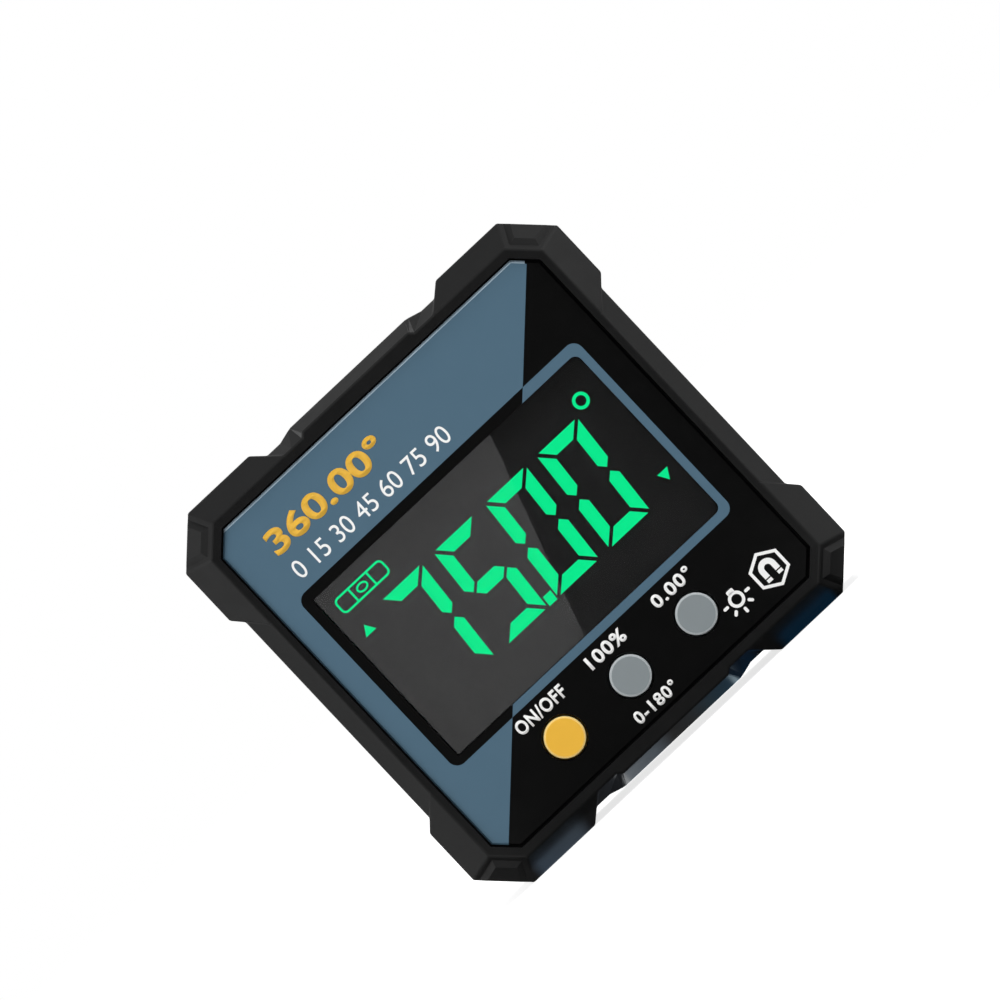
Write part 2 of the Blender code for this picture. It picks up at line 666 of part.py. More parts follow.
def make_front_shell():
    shell = shell_body("front_shell", FRONT_Y, FRONT_Y + SLOPE_DEPTH, SEAM_Y)
    lip = octagon(
        CAVITY_HALF_WIDTH + LIP_THICKNESS,
        CAVITY_HALF_HEIGHT + LIP_THICKNESS,
        CAVITY_CUT + LIP_THICKNESS * (2 - sqrt(2)),
    )
    join(shell, prism("seam_lip", [lip], SEAM_Y - SHELL_WALL, SEAM_Y + LIP_LENGTH))
    cavity = octagon(CAVITY_HALF_WIDTH, CAVITY_HALF_HEIGHT, CAVITY_CUT)
    opening = octagon(PANEL_HALF_WIDTH, PANEL_HALF_HEIGHT, PANEL_CORNER_CUT)
    flange = rectangle(*lens_flange_half_sizes(GAP), 0, -WINDOW_DROP)
    aperture = rectangle(APERTURE_HALF_WIDTH, APERTURE_HALF_HEIGHT, 0, -WINDOW_DROP)
    cut(
        shell,
        prism("front_cavity", [cavity], WALL_BACK_Y, SEAM_Y + LIP_LENGTH + SHORT),
        prism("panel_recess", [opening], FRONT_Y - SHORT, PANEL_SEAT_Y),
        prism("lens_recess", [flange], PANEL_SEAT_Y - SHORT, LEDGE_Y),
        prism("display_aperture", [aperture], LEDGE_Y - SHORT, WALL_BACK_Y + SHORT),
        prism("button_holes", button_holes(PLAIN_TURN), PANEL_SEAT_Y - SHORT, WALL_BACK_Y + SHORT),
    )
    for side in (-1, 1):
        for end in (-1, 1):
            cut(shell, corner_pocket(side, end))
    case_bosses = circles(CASE_BOSS_RADIUS, case_screw_places())
    board_bosses = circles(BOARD_BOSS_RADIUS, board_screw_places())
    join(
        shell,
        prism("case_bosses", case_bosses, WALL_BACK_Y - SHORT / 2, SEAM_Y),
        prism("board_bosses", board_bosses, WALL_BACK_Y - SHORT / 2, BOARD_Y - GAP),
    )
    case_pilots = circles(CASE_HOLE_RADIUS, case_screw_places())
    board_pilots = circles(BOARD_SCREW_SHANK / 2 + GAP, board_screw_places())
    cut(
        shell,
        prism("case_pilots", case_pilots, CASE_PILOT_Y, SEAM_Y + SHORT),
        prism("board_pilots", board_pilots, BOARD_PILOT_Y, BOARD_Y),
    )
    return shell


def make_rear_shell():
    face_y = SEAM_Y + SEAM_GAP
    shell = shell_body("rear_shell", REAR_Y, REAR_Y - SLOPE_DEPTH, face_y)
    cavity = octagon(CAVITY_HALF_WIDTH, CAVITY_HALF_HEIGHT, CAVITY_CUT)
    reach = LIP_THICKNESS + GAP
    rebate = octagon(
        CAVITY_HALF_WIDTH + reach, CAVITY_HALF_HEIGHT + reach, CAVITY_CUT + reach * (2 - sqrt(2))
    )
    cut(
        shell,
        prism("rear_cavity", [cavity], face_y - SHORT, BACK_INNER_Y),
        prism("lip_rebate", [rebate], face_y - SHORT, SEAM_Y + LIP_LENGTH + GAP),
    )
    bay = rectangle(BAY_HALF_LENGTH + BAY_WALL, BAY_HALF_HEIGHT + BAY_WALL)
    posts = circles(POST_RADIUS, case_screw_places())
    counterbores = circles(COUNTERBORE_RADIUS, case_screw_places())
    clear_holes = circles(CASE_HOLE_RADIUS, case_screw_places())
    join(
        shell,
        prism("bay_walls", [bay], BAY_FLOOR_Y - BAY_WALL, BACK_INNER_Y + SHORT / 2),
        prism("screw_posts", posts, face_y, BACK_INNER_Y + SHORT / 2),
    )
    seat = rounded(DOOR_HALF_LENGTH + GAP, DOOR_HALF_HEIGHT + GAP, [DOOR_RADIUS + GAP] * 4)
    cut(
        shell,
        prism("bay_space", [rectangle(BAY_HALF_LENGTH, BAY_HALF_HEIGHT)], BAY_FLOOR_Y, REAR_Y + SHORT),
        prism("door_seat", [seat], DOOR_Y - GAP, REAR_Y + SHORT),
        prism("counterbores", counterbores, HEAD_FLOOR_Y, REAR_Y + SHORT),
        prism("clear_holes", clear_holes, face_y - SHORT, REAR_Y),
        tail_slots(),
        thumb_scoop(),
        *magnet_pockets(),
    )
    rib_low = (-BAY_HALF_LENGTH + RIB_INSET, BAY_FLOOR_Y - BAY_WALL / 2, -RIB_WIDTH / 2)
    rib_high = (BAY_HALF_LENGTH - RIB_INSET, BAY_FLOOR_Y + RIB_HEIGHT, RIB_WIDTH / 2)
    join(shell, box("cell_rib", rib_low, rib_high))
    return shell


def tail_slots():
    """Slots in the bay's floor for the tails of the two contacts on the left."""
    near = -BAY_HALF_LENGTH
    far = near + CONTACT_THICKNESS + 2 * GAP
    half = TAIL_WIDTH / 2 + GAP
    slots = [
        [(near, middle - half), (far, middle - half), (far, middle + half), (near, middle + half)]
        for middle in (CELL_Z, -CELL_Z)
    ]
    return prism("tail_slots", slots, BAY_FLOOR_Y - BAY_WALL - SHORT, BAY_FLOOR_Y + SHORT)


def thumb_scoop():
    """Hollow in the back beside the door's lower edge, for a fingertip."""
    edit = bmesh.new()
    place = Vector((0, REAR_Y + SCOOP_RADIUS - SCOOP_DEPTH, -DOOR_HALF_HEIGHT - SCOOP_DEPTH))
    bmesh.ops.create_uvsphere(
        edit, u_segments=FINE_TURN, v_segments=FINE_TURN // 2, radius=SCOOP_RADIUS,
        matrix=Matrix.Translation(place),
    )
    mesh = bpy.data.meshes.new("thumb_scoop")
    edit.to_mesh(mesh)
    edit.free()
    return add_object("thumb_scoop", mesh)


def make_battery_door():
    outline = rounded(DOOR_HALF_LENGTH, DOOR_HALF_HEIGHT, [DOOR_RADIUS] * 4)
    door = prism("battery_door", [outline], DOOR_Y, REAR_Y, SHELL_BLACK)
    soften(door, EDGE_ROUND, segments=2)
    outer = BAY_HALF_HEIGHT - GAP
    inner = outer - TONGUE_THICKNESS
    for name, middle, end in (
        ("tongue_left", -TONGUE_SPAN / 2, 1),
        ("tongue_right", TONGUE_SPAN / 2, 1),
        ("tongue_latch", 0, -1),
    ):
        low = (middle - TONGUE_WIDTH / 2, DOOR_Y - TONGUE_LENGTH, min(end * inner, end * outer))
        high = (middle + TONGUE_WIDTH / 2, DOOR_Y + DOOR_THICKNESS / 2, max(end * inner, end * outer))
        join(door, box(name, low, high))
    for i in range(GRIP_COUNT):
        z = -DOOR_HALF_HEIGHT + GRIP_PITCH * (i + 1)
        low = (-GRIP_LENGTH / 2, REAR_Y - GRIP_DEPTH, z - GRIP_WIDTH / 2)
        high = (GRIP_LENGTH / 2, REAR_Y + SHORT, z + GRIP_WIDTH / 2)
        cut(door, box(f"grip_{i + 1}", low, high))
    return door


# Panel, window and display


def window_outline(inset=0.0, radius=WINDOW_RADIUS):
    half_width = WINDOW_WIDTH / 2 - inset
    half_height = WINDOW_HEIGHT / 2 - inset
    return rounded(half_width, half_height, (0, radius, radius, 0), 0, -WINDOW_DROP)


def lens_flange_half_sizes(clearance=0.0):
    reach = LENS_FLANGE + clearance
    return WINDOW_WIDTH / 2 + reach, WINDOW_HEIGHT / 2 + reach


def make_face_panel():
    corner = PANEL_CORNER_CUT - PANEL_GAP * (2 - sqrt(2))
    outline = octagon(PANEL_HALF_WIDTH - PANEL_GAP, PANEL_HALF_HEIGHT - PANEL_GAP, corner)
    panel = prism("face_panel", [outline], PANEL_FACE_Y, PANEL_BACK_Y, PANEL_BLACK)
    panel.data.materials.append(PANEL_BLUE)
    two_colours(panel.data)
    soften(panel, PANEL_EDGE, angle=60)
    cut(
        panel,
        prism("panel_window", [window_outline()], PANEL_FACE_Y - SHORT, PANEL_BACK_Y + SHORT),
        prism("panel_holes", button_holes(FINE_TURN), PANEL_FACE_Y - SHORT, PANEL_BACK_Y + SHORT),
    )
    return panel


def two_colours(mesh):
    """Blue above the diagonal that rises to the right, black below it."""
    towards_blue = Vector((-1, 0, 1))
    edit = bmesh.new()
    edit.from_mesh(mesh)
    everything = edit.verts[:] + edit.edges[:] + edit.faces[:]
    bmesh.ops.bisect_plane(edit, geom=everything, plane_no=towards_blue, dist=0.001 * MM)
    for face in edit.faces:
        face.material_index = int(face.calc_center_median().dot(towards_blue) > 0)
    edit.to_mesh(mesh)
    edit.free()


def make_window_lens():
    inset = PANEL_GAP
    front = window_outline(inset, WINDOW_RADIUS - inset)
    lens = prism("window_lens", [front], PANEL_FACE_Y + LENS_SINK, LENS_BACK_Y, WINDOW_CLEAR)
    flange = rectangle(*lens_flange_half_sizes(), 0, -WINDOW_DROP)
    join(lens, prism("lens_flange", [flange], PANEL_SEAT_Y, LENS_BACK_Y))
    return lens


def make_display():
    top = GLASS_HALF_HEIGHT - WINDOW_DROP
    bottom = -GLASS_HALF_HEIGHT - WINDOW_DROP
    step = bottom + GLASS_STEP
    profile = [
        (GLASS_Y, bottom), (GLASS_STEP_Y, bottom), (GLASS_STEP_Y, step),
        (GLASS_BACK_Y, step), (GLASS_BACK_Y, top), (GLASS_Y, top),
    ]
    glass = prism("lcd_glass", [profile], -GLASS_HALF_WIDTH, GLASS_HALF_WIDTH, DISPLAY_DARK, axis="X")
    inner = rectangle(GLASS_HALF_WIDTH + GAP, GLASS_HALF_HEIGHT + GAP, 0, -WINDOW_DROP)
    reach = GAP + FRAME_WALL
    outer = rectangle(GLASS_HALF_WIDTH + reach, GLASS_HALF_HEIGHT + reach, 0, -WINDOW_DROP)
    frame = prism("lcd_frame", [outer, inner], GLASS_Y, BOARD_Y - GAP, FRAME_WHITE)
    lamp_end = -GLASS_HALF_WIDTH + GAP + LED_LENGTH
    guide_low = (lamp_end + GAP, GUIDE_Y, step + GAP)
    guide_high = (GLASS_HALF_WIDTH, GUIDE_BACK_Y, top)
    guide = soften(box("light_guide", guide_low, guide_high, GUIDE_WHITE), EDGE_ROUND)
    lamp_low = (lamp_end - LED_LENGTH, GUIDE_Y, -LED_WIDTH / 2)
    lamp = box("backlight_led", lamp_low, (lamp_end, GUIDE_BACK_Y, LED_WIDTH / 2), LAMP_YELLOW)
    soften(lamp, EDGE_ROUND)
    rubber_low = (-WINDOW_WIDTH / 2, GLASS_STEP_Y + GAP, bottom)
    rubber_high = (WINDOW_WIDTH / 2, BOARD_Y - GAP, bottom + RUBBER_WIDTH)
    rubber = soften(box("contact_rubber", rubber_low, rubber_high, RUBBER_GREY), EDGE_ROUND)
    return glass, frame, guide, lamp, rubber


# Board and what is on it


def make_board():
    notch_x = CASE_SCREW_X - POST_RADIUS - GAP
    notch_z = CASE_SCREW_Z - POST_RADIUS - GAP
    outline = full_turn([
        (notch_x, BOARD_HALF_HEIGHT), (notch_x, notch_z), (BOARD_HALF_WIDTH, notch_z),
    ])
    holes = circles(BOARD_SCREW_SHANK / 2 + GAP, board_screw_places())
    board = prism("main_board", [outline] + holes, BOARD_Y, BOARD_BACK_Y, BOARD_GREEN)
    half = CHIP_SIZE / 2
    low = (-half, PARTS_Y, -half)
    chip = soften(box("controller_chip", low, (half, PARTS_Y + CHIP_HEIGHT, half), CHIP_BLACK), EDGE_ROUND)
    sensor_x = half + PART_SPACING
    low = (sensor_x, PARTS_Y, -SENSOR_SIZE / 2)
    high = (sensor_x + SENSOR_SIZE, PARTS_Y + SENSOR_HEIGHT, SENSOR_SIZE / 2)
    sensor = soften(box("tilt_sensor", low, high, CAN_METAL), EDGE_ROUND, segments=2)
    crystal = make_can("crystal_can", CRYSTAL_DIAMETER / 2, CRYSTAL_LENGTH, CAN_METAL)
    crystal_x = -half - PART_SPACING - CRYSTAL_DIAMETER / 2
    crystal.location = (crystal_x, PARTS_Y + CRYSTAL_DIAMETER / 2, 0)
    capacitor = make_can("capacitor", CAPACITOR_DIAMETER / 2, CAPACITOR_HEIGHT, SLEEVE_BLUE)
    capacitor.rotation_euler = (radians(-90), 0, 0)
    capacitor_x = crystal_x - CRYSTAL_DIAMETER / 2 - PART_SPACING - CAPACITOR_DIAMETER / 2
    capacitor.location = (capacitor_x, PARTS_Y, 0)
    return board, chip, sensor, crystal, capacitor


def make_can(name, radius, height, material):
    profile = disc_profile(radius, height, SMALL_EDGE)
    return turned(name, profile, (0, 0, 0), (0, 0, 1), material, SMALL_TURN)


# Buttons and switches


def make_button(name, x, material):
    """Cap, plunger and switch of one button. Cap and plunger have their origin on the button's axis."""
    face_y = PANEL_FACE_Y - BUTTON_PROUD
    flange_y = WALL_BACK_Y + GAP
    cap_back_y = flange_y + BUTTON_FLANGE_THICKNESS
    radius = BUTTON_DIAMETER / 2
    heights = [cap_back_y - y for y in (face_y, flange_y, cap_back_y)]
    profile = [
        (0, heights[0]),
        (radius - BUTTON_EDGE, heights[0]),
        (radius - BUTTON_EDGE * (1 - sin(pi / 4)), heights[0] - BUTTON_EDGE * (1 - sin(pi / 4))),
        (radius, heights[0] - BUTTON_EDGE),
        (radius, heights[1]),
        (BUTTON_FLANGE_RADIUS, heights[1]),
        (BUTTON_FLANGE_RADIUS, heights[2]),
        (0, heights[2]),
    ]
    place = (x, cap_back_y, -BUTTON_DROP)
    cap = turned(name + "_button", profile, place, (0, -1, 0), material, steps=FINE_TURN)

    plunger_y = cap_back_y + GAP
    switch_back_y = BOARD_Y - GAP
    well_y = switch_back_y - SWITCH_FLOOR
    plunger_back_y = well_y - GAP - BUTTON_TRAVEL
    switch_y = cap_back_y + BUTTON_TRAVEL + 2 * GAP
    stem = PLUNGER_DIAMETER / 2
    stem_profile = disc_profile(stem, plunger_back_y - plunger_y, SMALL_EDGE)
    plunger_place = (x, plunger_back_y, -BUTTON_DROP)
    plunger = turned(
        name + "_plunger", stem_profile, plunger_place, (0, -1, 0), PLUNGER_BLACK, SMALL_TURN
    )

    half = SWITCH_SIZE / 2
    low = (x - half, switch_y, -BUTTON_DROP - half)
    high = (x + half, switch_back_y, -BUTTON_DROP + half)
    switch = soften(box(name + "_switch", low, high, SWITCH_STEEL), EDGE_ROUND)
    well = circle(stem + GAP, x, -BUTTON_DROP)
    cut(switch, prism(name + "_well", [well], switch_y - SHORT, well_y))
    return cap, plunger, switch


# Cells and contacts


def make_cell(number, z, towards):
    """AAA cell along x, its positive end pointing to -x or +x."""
    radius = CELL_DIAMETER / 2
    nub = NUB_DIAMETER / 2
    edge = CELL_EDGE
    body_top = CELL_LENGTH - NUB_HEIGHT
    profile = [
        (0, CELL_LENGTH), (nub - edge, CELL_LENGTH), (nub, CELL_LENGTH - edge), (nub, body_top),
        (radius - edge, body_top), (radius, body_top - edge), (radius, edge),
        (radius - edge, 0), (nub, 0), (nub, edge), (0, edge),
    ]
    start = -towards * (BAY_HALF_LENGTH - SPRING_STACK)
    return turned(f"battery_cell_{number}", profile, (start, CELL_Y, z), (towards, 0, 0), CELL_SILVER)


def make_spring(number, z, towards):
    """Conical coil between a cell's negative end and the contact behind it."""
    steps = int(SPRING_TURNS * SMALL_TURN)
    wire = SPRING_WIRE / 2
    plate_x = BAY_HALF_LENGTH - END_STACK + GAP
    first = plate_x - GAP - wire
    last = plate_x - GAP - SPRING_LENGTH + wire
    curve = bpy.data.curves.new(f"cell_spring_{number}", "CURVE")
    curve.dimensions = "3D"
    curve.bevel_depth = wire
    curve.bevel_resolution = 2
    curve.use_fill_caps = True
    spline = curve.splines.new("POLY")
    spline.points.add(steps)
    for i, point in enumerate(spline.points):
        share = i / steps
        angle = 2 * pi * i / SMALL_TURN
        reach = (SPRING_BASE_DIAMETER * (1 - share) + SPRING_TIP_DIAMETER * share - SPRING_WIRE) / 2
        along = first + (last - first) * share
        point.co = (-towards * along, CELL_Y + reach * cos(angle), z + reach * sin(angle), 1)
    return add_object(f"cell_spring_{number}", curve, SPRING_STEEL)


def contact_outline(z):
    """Square plate with a narrow tail that runs forward to the board."""
    half = CONTACT_SIZE / 2
    tail = TAIL_WIDTH / 2
    return [
        (CELL_Y - half, z - half), (CELL_Y + half, z - half), (CELL_Y + half, z + half),
        (CELL_Y - half, z + half), (CELL_Y - half, z + tail), (PARTS_Y, z + tail),
        (PARTS_Y, z - tail), (CELL_Y - half, z - tail),
    ]


def make_contacts():
    near = BAY_HALF_LENGTH - GAP
    far = near - CONTACT_THICKNESS
    plus = prism("contact_plus", [contact_outline(CELL_Z)], -near, -far, CONTACT_NICKEL, axis="X")
    minus = prism("contact_minus", [contact_outline(-CELL_Z)], -near, -far, CONTACT_NICKEL, axis="X")
    half = CONTACT_SIZE / 2
    bridge_outline = rounded(half, CELL_Z + half, [CONTACT_RADIUS] * 4, CELL_Y)
    bridge = prism("contact_bridge", [bridge_outline], far, near, CONTACT_NICKEL, axis="X")
    return plus, minus, bridge


# Magnets and screws


def magnet_places():
    """A magnet stands in the middle of each base foot, within the rear shell's share of it."""
    x = (FOOT_HALF_SPAN + HALF_WIDTH - CORNER_CUT) / 2
    y = (SEAM_Y + REAR_Y - SLOPE_DEPTH) / 2
    return {"left": (-x, y), "right": (x, y)}


def magnet_pockets():
    floor = -HALF_HEIGHT + MAGNET_SINK + MAGNET_THICKNESS + GAP
    return [
        prism("magnet_pocket_" + side, [circle(MAGNET_DIAMETER / 2 + GAP, *place, PLAIN_TURN)],
              -HALF_HEIGHT - SHORT, floor, axis="Z")
        for side, place in magnet_places().items()
    ]


def make_magnets():
    profile = disc_profile(MAGNET_DIAMETER / 2, MAGNET_THICKNESS, MAGNET_EDGE)
    return [
        turned("base_magnet_" + side, profile, (x, y, -HALF_HEIGHT + MAGNET_SINK), (0, 0, 1),
               MAGNET_NICKEL)
        for side, (x, y) in magnet_places().items()
    ]


def screw_solid(name, head, head_height, shank, length):
    """Pan head screw along +z: its head's seat is at the origin and its point at -length."""
    radius = head / 2
    stem = shank / 2
    side_top = head_height * (1 - HEAD_DOME_SHARE)
    profile = [
        (0, head_height), (radius * HEAD_FLAT_SHARE, head_height), (radius, side_top), (radius, 0),
        (stem, 0), (stem, -length + stem), (stem * POINT_SHARE, -length), (0, -length),
    ]
    solid = turned(name, profile, (0, 0, 0), (0, 0, 1), SCREW_STEEL, SMALL_TURN)
    arm = radius * DRIVE_LENGTH_SHARE
    half = radius * DRIVE_WIDTH_SHARE
    for i, (long, wide) in enumerate(((arm, half), (half, arm))):
        low = (-long, -wide, head_height * DRIVE_FLOOR_SHARE)
        cut(solid, box(f"{name}_slot_{i + 1}", low, (long, wide, head_height + SHORT)))
    shade_round(settled(solid))
    mesh = solid.data
    bpy.data.objects.remove(solid, do_unlink=True)
    return mesh


def place_screws(group, mesh, places, seat_y):
    made = []
    for i, (x, z) in enumerate(places):
        item = add_object(f"{group}_{i + 1}", mesh)
        item.location = (x, seat_y, z)
        item.rotation_euler = (radians(-90), 0, 0)
        made.append(item)
    return made


def make_screws():
    case = screw_solid(
        "case_screw", CASE_SCREW_HEAD, CASE_SCREW_HEAD_HEIGHT, CASE_SCREW_SHANK, CASE_SCREW_LENGTH
    )
    board = screw_solid(
        "board_screw", BOARD_SCREW_HEAD, BOARD_SCREW_HEAD_HEIGHT, BOARD_SCREW_SHANK, BOARD_SCREW_LENGTH
    )
    made = place_screws("case_screw", case, case_screw_places(), CASE_SCREW_Y)
    return made + place_screws("board_screw", board, board_screw_places(), PARTS_Y)


def build():
    make_front_shell()
    make_rear_shell()
    make_battery_door()
    make_face_panel()
    make_window_lens()
    make_display()
    make_board()
    for name, x in BUTTONS.items():
        make_button(name, x, BUTTON_YELLOW if name == "power" else BUTTON_GREY)
    for number, z, towards in ((1, CELL_Z, -1), (2, -CELL_Z, 1)):
        make_cell(number, z, towards)
        make_spring(number, z, towards)
    make_contacts()
    make_magnets()
    make_screws()
    bpy.context.view_layer.update()


build()
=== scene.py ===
from math import cos, pi, radians, sin

import bpy
from mathutils import Matrix, Vector


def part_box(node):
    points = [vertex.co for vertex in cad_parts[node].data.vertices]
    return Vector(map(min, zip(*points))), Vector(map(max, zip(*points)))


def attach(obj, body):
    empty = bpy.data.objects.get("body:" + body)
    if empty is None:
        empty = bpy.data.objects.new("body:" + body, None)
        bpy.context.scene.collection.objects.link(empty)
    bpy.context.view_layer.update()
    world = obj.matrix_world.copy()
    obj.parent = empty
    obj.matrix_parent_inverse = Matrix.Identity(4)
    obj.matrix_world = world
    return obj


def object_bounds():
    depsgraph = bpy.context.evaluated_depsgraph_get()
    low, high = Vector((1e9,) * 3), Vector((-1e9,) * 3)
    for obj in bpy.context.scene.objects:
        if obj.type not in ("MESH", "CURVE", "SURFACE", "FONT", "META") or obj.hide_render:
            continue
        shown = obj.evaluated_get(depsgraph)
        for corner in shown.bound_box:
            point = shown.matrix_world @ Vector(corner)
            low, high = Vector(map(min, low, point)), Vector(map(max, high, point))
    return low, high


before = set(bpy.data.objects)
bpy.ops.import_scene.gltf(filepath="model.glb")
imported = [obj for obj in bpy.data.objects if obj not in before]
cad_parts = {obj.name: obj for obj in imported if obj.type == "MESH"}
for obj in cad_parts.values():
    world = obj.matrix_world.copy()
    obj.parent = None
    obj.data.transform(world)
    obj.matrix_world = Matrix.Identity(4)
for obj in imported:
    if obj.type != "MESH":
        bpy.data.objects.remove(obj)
cadLow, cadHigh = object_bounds()

mm = 0.001
middle = (cadLow + cadHigh) / 2  # middle of the case: the places of all print are measured from it
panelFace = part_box("face_panel")[0].y
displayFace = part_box("lcd_glass")[0].y
print("frame loaded:", len(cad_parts), "nodes")


def deselect():
    bpy.ops.object.select_all(action="DESELECT")


def activate(piece):
    deselect()
    piece.select_set(True)
    bpy.context.view_layer.objects.active = piece


def applyPlace(piece):
    activate(piece)
    bpy.ops.object.transform_apply(location=True, rotation=True, scale=True)
    return piece


def nameBoth(piece, name):
    piece.name = name
    piece.data.name = name
    return piece


# edit mode with the picked faces or edges selected, or all of them
def startEdit(piece, kind="FACE", picked=None):
    activate(piece)
    bpy.context.tool_settings.mesh_select_mode = (False, kind == "EDGE", kind == "FACE")
    bpy.ops.object.mode_set(mode="EDIT")
    bpy.ops.mesh.select_all(action="SELECT" if picked is None else "DESELECT")
    if picked is not None:
        bpy.ops.object.mode_set(mode="OBJECT")
        places = [vertex.co for vertex in piece.data.vertices]
        if kind == "FACE":
            for face in piece.data.polygons:
                face.select = picked(face)
        if kind == "EDGE":
            for edge in piece.data.edges:
                edge.select = picked(*[places[i] for i in edge.vertices])
        bpy.ops.object.mode_set(mode="EDIT")


def endEdit():
    bpy.ops.object.mode_set(mode="OBJECT")


def closeSeams(piece):
    startEdit(piece)
    bpy.ops.mesh.remove_doubles(threshold=0.0005 * mm)
    bpy.ops.mesh.normals_make_consistent(inside=False)
    endEdit()
    return piece


def applyModifier(piece, kind, **settings):
    modifier = piece.modifiers.new(kind.lower(), kind)
    for name, value in settings.items():
        setattr(modifier, name, value)
    activate(piece)
    bpy.ops.object.modifier_apply(modifier=modifier.name)
    return piece


# cuts a solid out of the piece and removes the solid
def cutWith(piece, tool):
    applyModifier(piece, "BOOLEAN", object=tool, operation="DIFFERENCE", solver="EXACT")
    bpy.data.objects.remove(tool)
    return piece


def joinPieces(name, pieces):
    activate(pieces[0])
    for piece in pieces:
        piece.select_set(True)
    bpy.ops.object.join()
    return nameBoth(pieces[0], name)


# gives a piece its material and the body that it moves with
def finished(piece, body, finish):
    piece.data.materials.clear()
    piece.data.materials.append(finish)
    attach(piece, body)
    return piece


# rectangle of the front in mm from the middle, its back at one depth and its thickness towards the viewer
def addPlate(name, low, high, back, thickness):
    deselect()
    bpy.ops.mesh.primitive_cube_add(size=1)
    plate = nameBoth(bpy.context.active_object, name)
    plate.scale = ((high[0] - low[0]) * mm, thickness, (high[1] - low[1]) * mm)
    across, up = (low[0] + high[0]) / 2 * mm, (low[1] + high[1]) / 2 * mm
    plate.location = (middle.x + across, back - thickness / 2, middle.z + up)
    return applyPlace(plate)


# one segment cuts a corner off, more of them round it
def cutCorners(plate, width, segments=1, chosen=lambda across, up: True):
    def picked(first, second):
        upright = abs(first.x - second.x) + abs(first.z - second.z) < 0.001 * mm
        return upright and chosen((first.x - middle.x) / mm, (first.z - middle.z) / mm)
    startEdit(plate, "EDGE", picked)
    bpy.ops.mesh.bevel(offset=width * mm, offset_type="OFFSET", segments=segments, affect="EDGES")
    endEdit()
    return plate


# trims off what lies past a line through one place; the last pair points to the side that goes
def trim(piece, place, away):
    startEdit(piece)
    point = (middle.x + place[0] * mm, 0, middle.z + place[1] * mm)
    bpy.ops.mesh.bisect(plane_co=point, plane_no=(away[0], 0, away[1]), use_fill=True, clear_outer=True)
    endEdit()
    return piece


# turns a flat solid into a frame of one width
def hollow(piece, width):
    startEdit(piece, "FACE", lambda face: abs(face.normal.y) > 0.9)
    bpy.ops.mesh.inset(thickness=width * mm, use_boundary=True)
    bpy.ops.mesh.bridge_edge_loops()
    endEdit()
    return closeSeams(piece)


# disc or polygon of the front, turned in its plane and then made lower
def addDisc(name, sides, radius, place, back, thickness, turn=0.0, squeeze=1.0):
    deselect()
    bpy.ops.mesh.primitive_cylinder_add(vertices=sides, radius=radius * mm, depth=thickness)
    disc = nameBoth(bpy.context.active_object, name)
    disc.rotation_euler = (radians(90), turn, 0)
    disc.location = (middle.x + place[0] * mm, back - thickness / 2, middle.z + place[1] * mm)
    applyPlace(disc)
    disc.scale = (1, 1, squeeze)
    disc.location = (0, 0, (1 - squeeze) * (middle.z + place[1] * mm))
    return applyPlace(disc)


# a procedural material that is put together node by node
class Finish:
    def __init__(self, name):
        self.material = bpy.data.materials.new(name)
        self.material.use_nodes = True
        tree = self.material.node_tree
        self.nodes, self.links = tree.nodes, tree.links
        self.shader = self.nodes["Principled BSDF"].inputs
        coordinates = self.add("ShaderNodeTexCoord").outputs
        self.place, self.facing = coordinates["Object"], coordinates["Normal"]

    def add(self, kind, **settings):
        node = self.nodes.new(kind)
        for name, value in settings.items():
            setattr(node, name, value)
        return node

    def link(self, source, target):
        self.links.new(source, target)

    def math(self, operation, *values):
        node = self.add("ShaderNodeMath", operation=operation)
        for socket, value in zip(node.inputs, values):
            if isinstance(value, (int, float)):
                socket.default_value = value
            else:
                self.link(value, socket)
        return node.outputs[0]

    # noise whose lumps have a real size in metres
    def noise(self, size, detail=2.0, stretch=(1, 1, 1)):
        mapping = self.add("ShaderNodeMapping")
        mapping.inputs["Scale"].default_value = stretch
        self.link(self.place, mapping.inputs["Vector"])
        texture = self.add("ShaderNodeTexNoise")
        texture.inputs["Scale"].default_value = 1 / size
        texture.inputs["Detail"].default_value = detail
        self.link(mapping.outputs["Vector"], texture.inputs["Vector"])
        return texture.outputs["Fac"]

    # the mix node has its colours at sockets 6 and 7 and its result at 2
    def blend(self, factor, first, second):
        mix = self.add("ShaderNodeMix", data_type="RGBA")
        self.link(factor, mix.inputs[0])
        for socket, colour in ((mix.inputs[6], first), (mix.inputs[7], second)):
            if isinstance(colour, tuple):
                socket.default_value = (*colour, 1)
            else:
                self.link(colour, socket)
        return mix.outputs[2]

    def ranged(self, value, low, high, start=0.3, end=0.7):
        change = self.add("ShaderNodeMapRange")
        for name, number in (("From Min", start), ("From Max", end), ("To Min", low), ("To Max", high)):
            change.inputs[name].default_value = number
        self.link(value, change.inputs["Value"])
        return change.outputs["Result"]

    def bump(self, height, depth):
        node = self.add("ShaderNodeBump")
        node.inputs["Distance"].default_value = depth
        self.link(height, node.inputs["Height"])
        return node.outputs["Normal"]

    # 1 along the edges and 0 on flat faces
    def edges(self, radius):
        rounded = self.add("ShaderNodeBevel", samples=4)
        rounded.inputs["Radius"].default_value = radius
        compare = self.add("ShaderNodeVectorMath", operation="DOT_PRODUCT")
        self.link(rounded.outputs["Normal"], compare.inputs[0])
        self.link(self.add("ShaderNodeNewGeometry").outputs["Normal"], compare.inputs[1])
        return self.ranged(compare.outputs["Value"], 1.0, 0.0, 0.8, 0.98)

    # 1 where the surface turns away from straight ahead, as on the round edge of a button
    def turned(self):
        split = self.add("ShaderNodeSeparateXYZ")
        self.link(self.facing, split.inputs[0])
        return self.ranged(split.outputs["Y"], 0.0, 1.0, -0.98, -0.85)


surface = {"patch": 4 * mm, "glossPatch": 2 * mm, "wearAndHighlightPatch": 0.9 * mm, "edgeRadius": 0.12 * mm}
